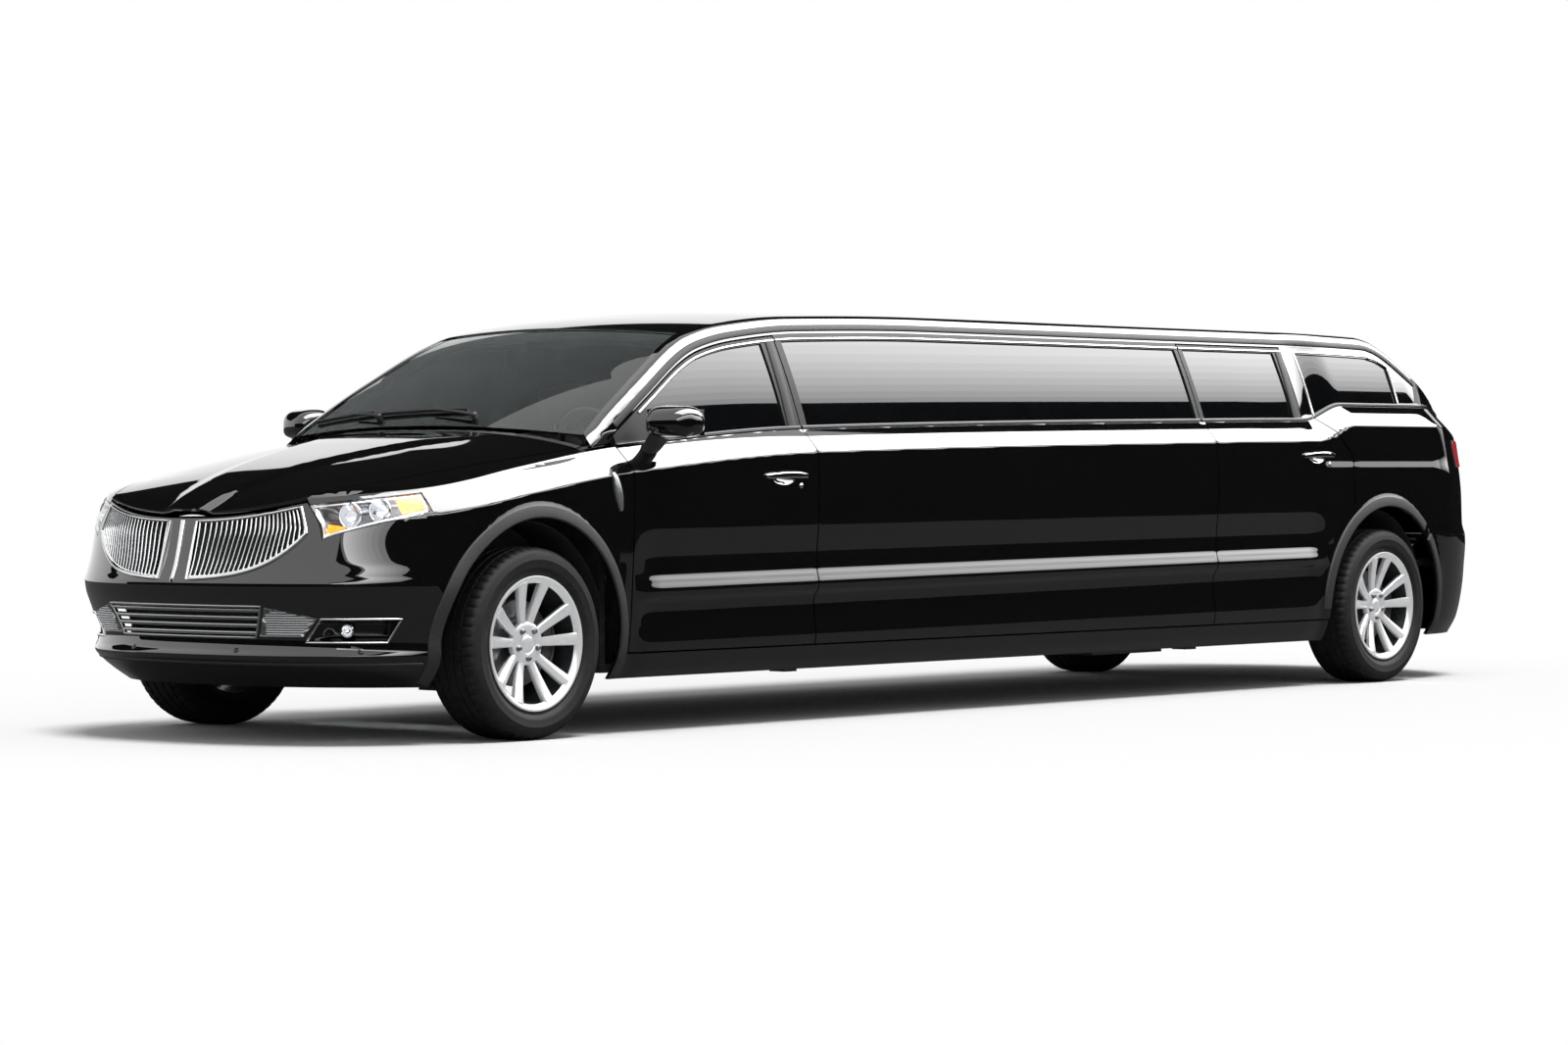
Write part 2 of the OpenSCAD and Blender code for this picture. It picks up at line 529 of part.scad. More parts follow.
// Heights of a door's hinges: the lower one lies behind the ridge, where the door is deepest
function hinge_zs(x) = [
  mix(sill_z, waist_z, ridge_share) + ridge_rise * unit((door1_f - x) / (door1_f - door2_r)) - lug_h * 0.75,
  mix(door_z, belt_front_z, 0.72)];
module door_hinges(hx) {
  for (z = hinge_zs(hx)) translate([hx, hinge_y, z]) {
    translate([0, 0, lug_h + fit]) cylinder(r = barrel_r, h = lug_h);
    cylinder(r = pin_r, h = lug_h * 1.5);
    translate([-over * 1.5, -barrel_r * 0.8, lug_h + fit]) cube([over * 1.5, barrel_r * 1.6, lug_h]);
  }
}
module front_door() {
  union() {
    difference() {
      wall(door_cols(door1_f - shut / 2, door1_r + shut / 2,
        [for (i = [screen_n - 2 : screen_n + 1]) roof_side_x(roof_places[i])]), shut);
      window_cut(door1_glass[0], door1_glass[1]);
    }
    door_hinges(hinge1_x);
  }
}
mirror_l = door1_l * 0.19;
mirror_h = door1_l * 0.135;
mirror_x = mix(door1_f, door1_r, 0.14);
mirror_z = belt(mirror_x);
mirror_y = low_y(mirror_x - skin_t * 1.5, mirror_z - shut) - fit;
module mirror_body() {
  r = mirror_h * 0.3;
  color("#0c0d10") translate([mirror_x, mirror_y, mirror_z]) union() {
    translate([-skin_t * 1.5, 0, -shut]) cube([skin_t * 3, skin_t * 2.6, skin_t]);
    hull() {
      for (y = [r + skin_t, mirror_l], z = [r * 0.9, mirror_h - r])
        translate([-r, y, z]) sphere(r = r, $fn = 16);
      translate([mirror_l * 0.2, mirror_l * 0.55, mirror_h * 0.45]) sphere(r = r, $fn = 16);
    }
  }
}
module mirror_fl() { mirror_body(); }
module mirror_fr() { mirror([0, 1, 0]) mirror_body(); }
module rear_door() {
  union() {
    difference() {
      wall(door_cols(door2_f - shut / 2, door2_r,
        [for (s = [0.3, 0.5, 0.7, 0.85]) mix(door2_f, door2_r, s)]), shut);
      window_cut(door2_glass[0], door2_glass[1]);
      side_cut(concat(door2_line(0), [[door2_r - over, sill_z], [door2_r - over, roof_z]]),
        half_w / 2, half_w + over);
      arch_cut(rax);
    }
    door_hinges(hinge2_x);
  }
}
function door2_line(g) = [
  [door2_w - g, roof_z], [door2_w - g, mix(belt_rear_z, belt_kick_z, 1.3) + g / 2],
  [door2_r - g, waist_z + g / 2], [door2_r - g, sill_z]];
module door_fl() { color("#0c0d10") front_door(); }
module door_fr() { color("#0c0d10") mirror([0, 1, 0]) front_door(); }
module door_rl() { color("#0c0d10") rear_door(); }
module door_rr() { color("#0c0d10") mirror([0, 1, 0]) rear_door(); }
module glass_fl() { color("#20262c") pane(door1_glass[0], door1_glass[1]); }
module glass_fr() { color("#20262c") mirror([0, 1, 0]) pane(door1_glass[0], door1_glass[1]); }
module glass_rl() { color("#20262c") pane(door2_glass[0], door2_glass[1]); }
module glass_rr() { color("#20262c") mirror([0, 1, 0]) pane(door2_glass[0], door2_glass[1]); }
module side_panels() {
  f = door1_r - shut / 2;
  r = door2_f + shut / 2;
  color("#0c0d10") both() difference() {
    wall(concat([[f, 0, 0]], [for (c = mid_places) [roof_side_x(c), 0, 0]],
      [[r + cant * 1.4, 0, 0], [r + cant * 1.3, 1, 0], [r, 1, cant]]), seam);
    window_cut(mid_glass[0], mid_glass[1]);
  }
}
quarter_glass = [door2_w - frame_t * 2.75, mix(door2_w, lip_x, 0.5)];
module side_glass() {
  color("#20262c") both() {
    pane(mid_glass[0], mid_glass[1]);
    pane(quarter_glass[0], quarter_glass[1]);
  }
}
module sills() {
  r = rax + arch_r + shut;
  xs = [for (s = [0, 0.25, 0.5, 0.75, 1]) mix(fender_x(0) - seam, r, s)];
  color("#0c0d10") both() slab(
    [for (x = xs) [for (s = sill_shares) let (z = mix(sill_z, door_z - shut, s)) [x, side_y(x, z), z]]],
    [for (x = xs) [for (s = sill_shares) let (z = mix(sill_z, door_z - shut, s)) [x, inner_y, z]]]);
}
quarter_xs = concat(
  [for (s = [0, 0.25, 0.5, 0.75, 1]) mix(door2_w - shut, rax + arch_r * 0.3, s)],
  [for (c = [roof_end_x, mix(roof_end_x, lip_x, gate_rows[1])]) roof_side_x(c)],
  [for (s = [0.8, 1]) mix(rax - arch_r * 0.3, seam2_x, s)]);
rear_cols = [0.85, 0.7, 0.5, 0.25, 0];
function wall_t(x, z, t) = z > belt(x) ? t / skin_t * frame_t : t;
function quarter_col(x, t) =
  [for (z = wall_rows(x, bumper2_z + seam, top_z(x) - seam * 3)) [x, side_y(x, z) - wall_t(x, z, t), z]];
function quarter_end(c, t) =
  let (x = tail_col(c, gate_y + shut, belt_kick_z)[0])
  [for (z = wall_rows(x, bumper2_z + seam, top_z(x) - seam * 3))
    z > belt(x) ? [x, max(side_y(x, z) - wall_t(x, z, t), gate_y + shut / 2), z]
        : tail_col(c, gate_y + shut, z, t)];
module quarters() {
  color("#0c0d10") both() difference() {
    slab(
      concat([for (x = quarter_xs) quarter_col(x, 0)], [for (c = rear_cols) quarter_end(c, 0)]),
      concat([for (x = quarter_xs) quarter_col(x, skin_t)], [for (c = rear_cols) quarter_end(c, skin_t)]));
    window_cut(quarter_glass[0], quarter_glass[1]);
    side_cut(concat(door2_line(shut), [[door2_w + over, sill_z - over], [door2_w + over, roof_z]]),
      half_w / 2, half_w + over);
    arch_cut(rax);
  }
}

// Roof with its pillars: columns follow the bow of the screens, half sections run from the side inward
function on_cabin(c, y) = [cabin_x(c, y), y, cabin_z(cabin_x(c, y), y)];
function gate_share(c) = (c - roof_end_x) / (lip_x - roof_end_x);
function roof_edge(c, y1) =
  c < roof_end_x ? gate_upper(gate_share(c), 1, 0) + [0, shut, 0]
  : on_cabin(c, c == roof_end_x ? gate_top_y + shut : c > header_x - shut ? screen_half(c) : y1 * 0.82);
function roof_side_x(c) = c < roof_end_x ? roof_edge(c)[0] : c > 0 ? c - bow : c + bow;
function foot_z(x) = x > door1_f ? hood_z(x, low_y(x, belt(x)) - frame_t * 1.1) : top_z(x);
function roof_half(c, t) =
  let (x = roof_side_x(c), r = rail(x), z0 = foot_z(x) + seam, z1 = max(r[1], z0 + skin_t),
    e = roof_edge(c, r[0]),
    w = side_y(x, z0) - frame_t * 1.1, ti = min(t, z1 - z0 + (x > 0 ? -skin_t * 0.7 : skin_t)),
    o = c < roof_end_x ? mix(e, [x, r[0], r[1]], 0.7) : on_cabin(c, max(r[0] * 0.97, e[1] + shut)))
  concat(
    [for (s = [0, 0.6]) let (z = mix(z0, z1, s))
      [x, side_y(x, z) - (t == 0 ? 0 : frame_t * 0.8), z - ti * s * 0.6]],
    [for (p = [o, e, on_cabin(c, e[1] * 0.55), on_cabin(c, 0)])
      [p[0], t == 0 ? p[1] : min(p[1], w), p[2] - ti]]);
function full(half) =
  concat(half, [for (i = [len(half) - 2 : -1 : 0]) [half[i][0], -half[i][1], half[i][2]]]);
roof_x0 = cowl_x - bow * 1.6;
mid_places = [for (s = [0.16, 0.3, 0.47, 0.65]) mix(header_x, roof_end_x, s)];
roof_places = concat(
  [for (x = [roof_x0, door1_f + shut * 2, door1_f - seam]) x + bow],
  [for (s = [0.33, 0.66, 1]) mix(door1_f + bow, header_x, s)],
  [mix(header_x, roof_end_x, 0.06), door1_r + bow], mid_places,
  [door2_f - bow, mix(header_x, roof_end_x, 0.9), roof_end_x],
  [for (s = [gate_rows[1], gate_rows[2], gate_rows[3]]) mix(roof_end_x, lip_x, s)]);
screen_n = 5;
roof_n = 14;
module roof() {
  color("#0c0d10") union() {
    slab([for (c = roof_places) full(roof_half(c, 0))], [for (c = roof_places) full(roof_half(c, roof_t))],
      function (i, j) (i < screen_n || i >= roof_n) && j > 2 && j < 7);
    both() roof_hinge();
  }
}
hinge_roof_x = roof_end_x + over * 2.1;
hinge_roof_z = cabin_z(hinge_roof_x, gate_top_y * 0.5) - roof_t - barrel_r * 1.6;
hinge_roof_y = gate_top_y * 0.5;
module roof_hinge() {
  translate([hinge_roof_x, hinge_roof_y, hinge_roof_z]) difference() {
    union() {
      rotate([90, 0, 0]) cylinder(r = barrel_r, h = lug_h);
      translate([-barrel_r, -lug_h, 0]) cube([barrel_r * 2, lug_h, barrel_r * 2.4]);
    }
    translate([0, over, 0]) rotate([90, 0, 0]) cylinder(r = pin_r + run, h = lug_h + over * 2);
  }
}

// Windscreen: rows from the cowl up to the header
screen_cols = [-1, -0.55, 0, 0.55, 1];
screen_x0 = cowl_x - over;
screen_x1 = header_x + seam;
screen_places = concat([screen_x0], [for (i = [1 : screen_n - 1]) roof_places[i]], [screen_x1]);
function screen_half(c) = rail(min(c - bow, roof_x0))[0] - pillar_w;
function screen_pt(c, v, d) =
  let (y = v * (screen_half(c) - seam))
  [cabin_x(c, y), y, cabin_z(cabin_x(c, y), y) + d];
module windscreen() {
  color("#3a4046") slab(
    [for (v = screen_cols) [for (c = screen_places) screen_pt(c, v, -shut)]],
    [for (v = screen_cols) [for (c = screen_places) screen_pt(c, v, -shut - glass_t * 1.3)]]);
}

// Hood: rows from its rear edge to its nose
hood_rows = [0, 0.2, 0.4, 0.6, 0.78, 0.9, 0.97, 1];
hood_cols = [1, 0.86, 0.62, 0.32, 0, -0.32, -0.62, -0.86, -1];
hood_rear = over * 0.5;
function hood_x(s, y) = mix(cabin_x(cowl_x, y) + hood_rear, hood_front_x(y), s);
function hood_edge(s, y, n = 12) = n == 0 ? y : hood_edge(s, mix(y, hood_half(hood_x(s, y)), 0.6), n - 1);
function hood_pt(s, v, t) =
  let (y = v * hood_edge(s, half_w / 2), x = hood_x(s, y))
  [x, y, hood_z(x, y) - t];
// The hood turns about hooks that reach under the cowl, behind its rear edge
hinge_hood_y = half_w * 0.46;
hinge_hood_x = cabin_x(cowl_x, hinge_hood_y + lug_h * 1.5) + hood_rear - over * 1.4;
hinge_hood_z = hood_z(hinge_hood_x + over * 1.4, hinge_hood_y + lug_h * 2) - hood_t - barrel_r * 2.2;
hook_d = over * 1.4;
hook_l = over * 2.1;
neck_t = barrel_r * 1.2;
module hood() {
  color("#0c0d10") union() {
    slab([for (v = hood_cols) [for (s = hood_rows) hood_pt(s, v, 0)]],
      [for (v = hood_cols) [for (s = hood_rows) hood_pt(s, v, hood_t)]]);
    both() translate([hinge_hood_x, hinge_hood_y, hinge_hood_z]) {
      translate([0, lug_h + fit, 0]) rotate([-90, 0, 0]) cylinder(r = barrel_r, h = lug_h);
      rotate([-90, 0, 0]) cylinder(r = pin_r, h = lug_h * 1.5);
      translate([-neck_t / 2, lug_h + fit, -hook_d]) cube([neck_t, lug_h, hook_d]);
      translate([-neck_t / 2, lug_h + fit, -hook_d]) cube([hook_l, lug_h, neck_t]);
      translate([hook_l - neck_t * 1.5, lug_h + fit, -hook_d])
        cube([neck_t, lug_h, hook_d + barrel_r * 2.5]);
    }
  }
}
fw_x = door1_f + over * 1.2;
fw_t = skin_t * 1.4;
fw_z = hinge_hood_z - over;
module firewall() {
  color("#1b1c1f") union() {
    translate([fw_x, -inner_y, floor_z + fit]) cube([fw_t, inner_y * 2, fw_z - floor_z]);
    both() difference() {
      union() {
        translate([fw_x, hinge_hood_y, fw_z - over])
          cube([hinge_hood_x - fw_x, lug_h, over + skin_t * 0.4]);
        translate([hinge_hood_x, hinge_hood_y, hinge_hood_z])
          rotate([-90, 0, 0]) cylinder(r = barrel_r, h = lug_h);
        translate([hinge_hood_x - barrel_r, hinge_hood_y, fw_z - over])
          cube([barrel_r * 2, lug_h, hinge_hood_z - fw_z + over]);
      }
      translate([hinge_hood_x, hinge_hood_y - over, hinge_hood_z])
        rotate([-90, 0, 0]) cylinder(r = pin_r + run, h = lug_h + over * 2);
    }
  }
}

// Cowl panel under the foot of the windscreen
module cowl() {
  color("#141518") slab(
    [for (v = screen_cols) [for (s = [1, 0]) cowl_pt(s, v, 0)]],
    [for (v = screen_cols) [for (s = [1, 0]) cowl_pt(s, v, skin_t)]]);
}
function cowl_pt(s, v, t) =
  let (y = v * (screen_half(screen_x0) - seam * 7.3),
    x = mix(cabin_x(cowl_x, y) - over * 1.5, cabin_x(cowl_x, y) + hood_rear * 0.4, s))
  [x, y, cabin_z(x, y) - shut * 1.3 - glass_t * 1.3 - t];

// Tailgate: rows from the roof's end over the glass to the lip, then down the tail
tail_rows = [0.1, 0.2, 0.42, 0.7, 1];
gate_cols = [-1, -0.86, -0.5, 0, 0.5, 0.86, 1];
gate_z0 = bumper2_z + shut;
function gate_lower(s, v, t) =
  let (y = v * gate_y, z = mix(lip_z, gate_z0, s), p = tail_pt(tail_at(abs(y), z, t), z, t)) [p[0], y, z];
function gate_col(v, t) =
  concat([for (s = gate_rows) gate_upper(s, v, t)], [for (s = tail_rows) gate_lower(s, v, t)]);
gate_t = skin_t * 1.4;
// Goosenecks that carry the tailgate round the roof's edge
neck_d = over * 2.2;
neck_l = over * 4.25;
module tailgate() {
  color("#0c0d10") union() {
    slab([for (v = gate_cols) gate_col(v, 0)], [for (v = gate_cols) gate_col(v, gate_t)],
      function (i, j) i > 0 && i < 5 && j > 0 && j < 3);
    both() translate([hinge_roof_x, hinge_roof_y, hinge_roof_z]) {
      translate([0, fit + lug_h, 0]) rotate([90, 0, 0]) cylinder(r = barrel_r, h = lug_h);
      translate([0, lug_h * 0.5, 0]) rotate([90, 0, 0]) cylinder(r = pin_r, h = lug_h * 1.5);
      translate([-neck_t / 2, fit, -neck_d]) cube([neck_t, lug_h - fit, neck_d]);
      translate([-neck_l, fit, -neck_d]) cube([neck_l, lug_h - fit, neck_t]);
      translate([-neck_l, fit, -neck_d]) cube([neck_t, lug_h - fit, neck_d + neck_t * 1.7]);
    }
  }
}
module rear_glass() {
  function at(v, s, d) =
    let (p = gate_upper(s, v, 0))
      [p[0] + (s < 0.3 ? -seam : s > 0.7 ? seam : 0), p[1] - sign(v) * seam, p[2] - d];
  color("#20262c") slab(
    [for (v = [-0.86, -0.5, 0, 0.5, 0.86]) [for (s = [0.12, 0.5, 0.88]) at(v, s, shut)]],
    [for (v = [-0.86, -0.5, 0, 0.5, 0.86]) [for (s = [0.12, 0.5, 0.88]) at(v, s, shut + glass_t * 1.3)]]);
}
// Rear bumper: columns above 1 run along the side to the arch, the others round the corner
module rear_shell() {
  cs = [2, 1.5, 1, 0.85, 0.65, 0.4, 0.15];
  all = concat(cs, [0], [for (i = [len(cs) - 1 : -1 : 0]) -cs[i]]);
  function at(c, z, t) =
    let (x = mix(seam2_x, rax - arch_r * 0.68, c - 1))
    c > 1 ? [x, side_y(x, z) - t, z] : tail_pt(c * tail_end(z, t), z, t);
  function col(c, t) = [for (s = [0, 0.16, 0.35, 0.55, 0.75, 0.9, 1])
    let (p = at(abs(c), mix(sill_z, bumper2_z, s), t)) [p[0], p[1] * sign(c), p[2]]];
  slab([for (c = all) col(c, 0)], [for (c = all) col(c, bumper_t)]);
}
module rear_bumper() {
  color("#0c0d10") difference() {
    rear_shell();
    arch_cut(rax);
  }
}
lamp2_z = [mix(gate_z0, lip_z, 0.58), mix(gate_z0, lip_z, 0.8)];
module tail_lamps() {
  color("#7a1414") both() slab(
    [for (c = [0.5, 0.25, 0.02]) [for (z = lamp2_z) tail_col(c, gate_y + shut, z, -shut)]],
    [for (c = [0.5, 0.25, 0.02]) [for (z = lamp2_z) tail_col(c, gate_y + shut, z, -seam)]]);
}
module light_bar() {
  function at(v, z, t) =
    let (y = v * (gate_y - shut), p = tail_pt(tail_at(abs(y), z, t), z, t)) [p[0], y, z];
  zs = [lamp2_z[1], lamp2_z[0]];
  color("#7a1414") slab(
    [for (v = gate_cols) [for (z = zs) at(v, z, -shut)]],
    [for (v = gate_cols) [for (z = zs) at(v, z, -seam)]]);
}

// Floor with its kick up behind the rear seat and inner sills along the side walls
floor_t = skin_t * 1.4;
floor_z0 = sill_z + skin_t;
floor_z = floor_z0 + floor_t;
floor2_z = tyre_r * 1.5;
floor_y = inner_y - fit;
kick_x = rax + arch_r + over * 2;
floor_x = seam2_x - corner_d * 0.36;
pad_z = sill_z - skin_t * 0.7;
pad_w = over * 2;
module floor_pan() {
  color("#17181b") union() {
    translate([kick_x, -floor_y, floor_z0]) cube([fw_x + fw_t - kick_x, floor_y * 2, floor_t]);
    translate([kick_x, -floor_y, floor_z0]) cube([floor_t, floor_y * 2, floor2_z - floor_z0 + floor_t]);
    difference() {
      translate([tail_x + bumper_t * 0.7, -over * 2, floor2_z]) cube([floor_x - tail_x, over * 4, floor_t]);
      translate([seam, 0, 0]) rear_shell();
    }
    difference() {
      translate([floor_x, -floor_y, floor2_z]) cube([kick_x + floor_t - floor_x, floor_y * 2, floor_t]);
      both() translate([rax, track / 2 - tyre_w * 0.7, tyre_r])
        rotate([-90, 0, 0]) cylinder(r = arch_r, h = half_w);
    }
    both() {
      translate([door2_f + over * 4, floor_y - over, floor_z0])
        cube([door1_r - door2_f - over * 8, over, door_z - floor_z0 + over * 2]);
      for (x = [door1_r, door2_f]) translate([x - pad_w / 2, floor_y - pad_w * 1.5, pad_z])
        cube([pad_w, pad_w, floor_z0 - pad_z + floor_t / 2]);
      translate([kick_x, floor_y * 0.5, pad_z + skin_t]) cube([fw_x - kick_x, pad_w, floor_z0 - pad_z]);
    }
  }
}

// Posts that carry the doors
post_y = [inner_y - over * 2, inner_y - skin_t];
module hinge_post(hx) {
  difference() {
    union() {
      translate([hx - over * 0.6, post_y[0], floor_z + fit])
        cube([over * 1.4, post_y[1] - post_y[0], hinge_zs(hx)[1] + lug_h * 1.5 - floor_z]);
      for (z = hinge_zs(hx)) {
        translate([hx - barrel_r * 0.9, post_y[1] - shut, z])
          cube([barrel_r * 1.8, hinge_y - post_y[1] + shut, lug_h]);
        translate([hx, hinge_y, z]) cylinder(r = barrel_r, h = lug_h);
      }
    }
    for (z = hinge_zs(hx)) translate([hx, hinge_y, z - over])
      cylinder(r = pin_r + run, h = lug_h + over * 2);
  }
}
module hinge_posts() {
  color("#1b1c1f") both() {
    hinge_post(hinge1_x);
    hinge_post(hinge2_x);
  }
}

// Front structure: aprons either side of the engine, a cross member and a bumper beam
apron_y = half_w * 0.49;
apron_t = skin_t * 0.8;
apron_z = [tyre_r * 0.9, tyre_r * 2.3];
beam_x = nose_x - corner_d * 0.36;
beam_z = mix(sill_z, hood_edge_z, 0.6);
module aprons() {
  color("#1b1c1f") union() {
    both() {
      translate([fw_x + fw_t + fit, apron_y - apron_t, apron_z[0]])
        cube([beam_x - fw_x - fw_t - fit, apron_t, apron_z[1] - apron_z[0]]);
      translate([fax - over * 2, apron_y - apron_t, apron_z[1] - apron_t])
        cube([over * 4, strut_y - apron_y + apron_t + over * 1.5, apron_t]);
    }
    translate([beam_x - over, -apron_y, beam_z - over]) cube([over, apron_y * 2, over * 2]);
    difference() {
      translate([beam_x - over, -over, beam_z - shut / 2])
        cube([nose_x - bumper_t * 0.6 - beam_x + over, over * 2, shut]);
      translate([-seam, 0, 0]) front_shell();
    }
    translate([beam_x - over * 2, -apron_y, beam_z - over])
      cube([over * 1.2, apron_y * 2, hood_edge_z - beam_z - over]);
  }
}
strut_y = track / 2 - tyre_w * 0.65;
strut_r = skin_t * 1.05;
knuckle_h = [tyre_r * 0.56, tyre_r * 1.45];
knuckle_w = over;
arm_z = tyre_r * 0.48;
module front_subframe() {
  color("#232427") union() {
    translate([fax - over * 6, -apron_y, apron_z[0] - over * 2 - fit])
      cube([over * 12, apron_y * 2, over * 2]);
    both() {
      translate([fax - over * 1.5, apron_y * 0.8, arm_z])
        cube([over * 3, strut_y - apron_y * 0.8 + over, over * 0.5]);
      translate([fax - over * 1.5, apron_y * 0.8, arm_z]) cube([over * 3, over, apron_z[0] - over - arm_z]);
      translate([fax, strut_y, arm_z]) cylinder(r = pin_r * 2, h = knuckle_h[0] + over * 1.2 - arm_z);
    }
  }
}
module struts() {
  color("#2a2b2e") both() translate([fax, strut_y, 0]) {
    translate([0, 0, knuckle_h[1] + fit])
      cylinder(r = strut_r, h = apron_z[1] - apron_t - knuckle_h[1] - fit * 2);
    translate([0, 0, knuckle_h[1] - over]) cylinder(r = pin_r * 2, h = over * 2);
  }
}
spindle_r = over * 0.75;
hub_y = [track / 2 - tyre_w * 0.1, track / 2 + tyre_w * 0.28];
module upright() {
  difference() {
    union() {
      translate([-knuckle_w, -knuckle_w / 2, knuckle_h[0]])
        cube([knuckle_w * 2, knuckle_w, knuckle_h[1] - knuckle_h[0]]);
      translate([0, 0, tyre_r]) rotate([-90, 0, 0]) cylinder(r = spindle_r, h = hub_y[1] - strut_y - shut);
    }
    translate([0, 0, knuckle_h[0] - over]) cylinder(r = pin_r * 2 + run, h = over * 2.2 + fit);
    translate([0, 0, knuckle_h[1] - over - fit]) cylinder(r = pin_r * 2 + run, h = over * 2);
  }
}
module knuckle_l() { color("#3a3b3f") translate([fax, strut_y, 0]) upright(); }
module knuckle_r() { color("#3a3b3f") mirror([0, 1, 0]) translate([fax, strut_y, 0]) upright(); }
module rear_subframe() {
  color("#232427") union() {
    translate([rax - over * 2, -strut_y, tyre_r - over]) cube([over * 4, strut_y * 2, over * 2]);
    both() {
      translate([rax, strut_y - over, tyre_r])
        rotate([-90, 0, 0]) cylinder(r = spindle_r, h = hub_y[1] - strut_y + over - shut);
      translate([rax - over, apron_y, tyre_r]) cube([over * 2, over * 2, floor2_z - tyre_r - fit]);
    }
  }
}
engine_l = front_overhang * 0.5;
module engine() {
  z0 = apron_z[0];
  color("#2b2c30") translate([fax - engine_l * 0.5, -apron_y + over, z0])
    cube([engine_l, (apron_y - over) * 2, hood_edge_z - z0]);
}
module exhaust() {
  color("#4a4b4e") union() {
    translate([kick_x + over * 10, floor_y * 0.2, floor_z0 - over * 0.9 - fit])
      rotate([0, 90, 0]) cylinder(r = over * 0.9, h = wheelbase * 0.6);
    translate([kick_x + over * 12, 0, floor_z0 - over * 1.8 - fit])
      cube([over * 14, floor_y * 0.42, over * 1.8]);
  }
}

// Wheels: the outer half of the tyre's section, columns are radius share and width share
tyre_shares = [[0.669, 0.437], [0.735, 0.437], [0.78, 0.485], [0.86, 0.5],
  [0.935, 0.478], [0.98, 0.425], [1, 0.33]];
groove_shares = [0.24, 0.19, 0.05, 0];
groove_d = shut * 1.1;
module tyre() {
  g = groove_shares;
  half = concat(
    [for (p = tyre_shares) [p[0] * tyre_r, p[1] * tyre_w]],
    [[tyre_r, g[0] * tyre_w], [tyre_r - groove_d, g[0] * tyre_w],
      [tyre_r - groove_d, g[1] * tyre_w], [tyre_r, g[1] * tyre_w],
      [tyre_r, g[2] * tyre_w], [tyre_r - groove_d, g[2] * tyre_w]]);
  rotate([-90, 0, 0]) rotate_extrude($fn = 96)
    polygon(concat(half, [for (i = [len(half) - 1 : -1 : 0]) [half[i][0], -half[i][1]]]));
}
seat_r = tyre_shares[0][0] * tyre_r - fit;
rim_t = shut * 1.2;
flange_y = [tyre_shares[0][1] * tyre_w + fit, tyre_shares[0][1] * tyre_w + rim_t];
hub_r = lug_pcr * 1.35;
disc_r = tyre_r * 0.45;
spoke_w = over * 0.9;
module rim() {
  y0 = hub_y[0] - track / 2;
  y1 = hub_y[1] - track / 2;
  difference() {
    union() {
      rotate([-90, 0, 0]) rotate_extrude($fn = 96) polygon([
        [seat_r - rim_t, -flange_y[1]], [rim_r, -flange_y[1]],
        [rim_r, -flange_y[0]], [seat_r, -flange_y[0]],
        [seat_r, flange_y[0]], [rim_r, flange_y[0]], [rim_r, flange_y[1]], [seat_r - rim_t, flange_y[1]]]);
      translate([0, y0, 0]) rotate([-90, 0, 0]) cylinder(r = hub_r, h = y1 - y0);
      translate([0, y0, 0]) rotate([-90, 0, 0]) cylinder(r = disc_r, h = skin_t);
      intersection() {
        for (i = [0 : spokes - 1]) rotate([0, (i + 0.5) * 360 / spokes, 0]) spoke(y1);
        translate([0, -tyre_w, 0]) rotate([-90, 0, 0]) cylinder(r = seat_r - rim_t / 2, h = tyre_w * 2);
      }
    }
    translate([0, y0 - over, 0])
      rotate([-90, 0, 0]) cylinder(r = spindle_r + run, h = y1 - y0 + over - shut / 2);
    for (i = [0 : lugs - 1]) rotate([0, i * 360 / lugs, 0]) translate([0, y1 - shut, lug_pcr])
      rotate([-90, 0, 0]) cylinder(r = barrel_r, h = over);
  }
}
// A ridged spoke that leans out from the hub to the flange
module spoke(y1) {
  z0 = hub_r - shut * 2;
  rise_y = flange_y[1] - y1;
  w = spoke_w / 2;
  translate([0, y1 - shut, z0]) rotate([-atan(rise_y / (seat_r - z0)), 0, 0])
    linear_extrude(seat_r - z0 + over)
    polygon([[-w, -over], [w, -over], [w, -shut], [0, 0], [-w, -shut]]);
}
module at_wheel(ax, side) {
  mirror([0, side < 0 ? 1 : 0, 0]) translate([ax, track / 2, tyre_r]) children();
}
module tyre_fl() { color("#16171a") at_wheel(fax, 1) tyre(); }
module tyre_fr() { color("#16171a") at_wheel(fax, -1) tyre(); }
module tyre_rl() { color("#16171a") at_wheel(rax, 1) tyre(); }
module tyre_rr() { color("#16171a") at_wheel(rax, -1) tyre(); }
module rim_fl() { color("#cfd1d4") at_wheel(fax, 1) rim(); }
module rim_fr() { color("#cfd1d4") at_wheel(fax, -1) rim(); }
module rim_rl() { color("#cfd1d4") at_wheel(rax, 1) rim(); }
module rim_rr() { color("#cfd1d4") at_wheel(rax, -1) rim(); }

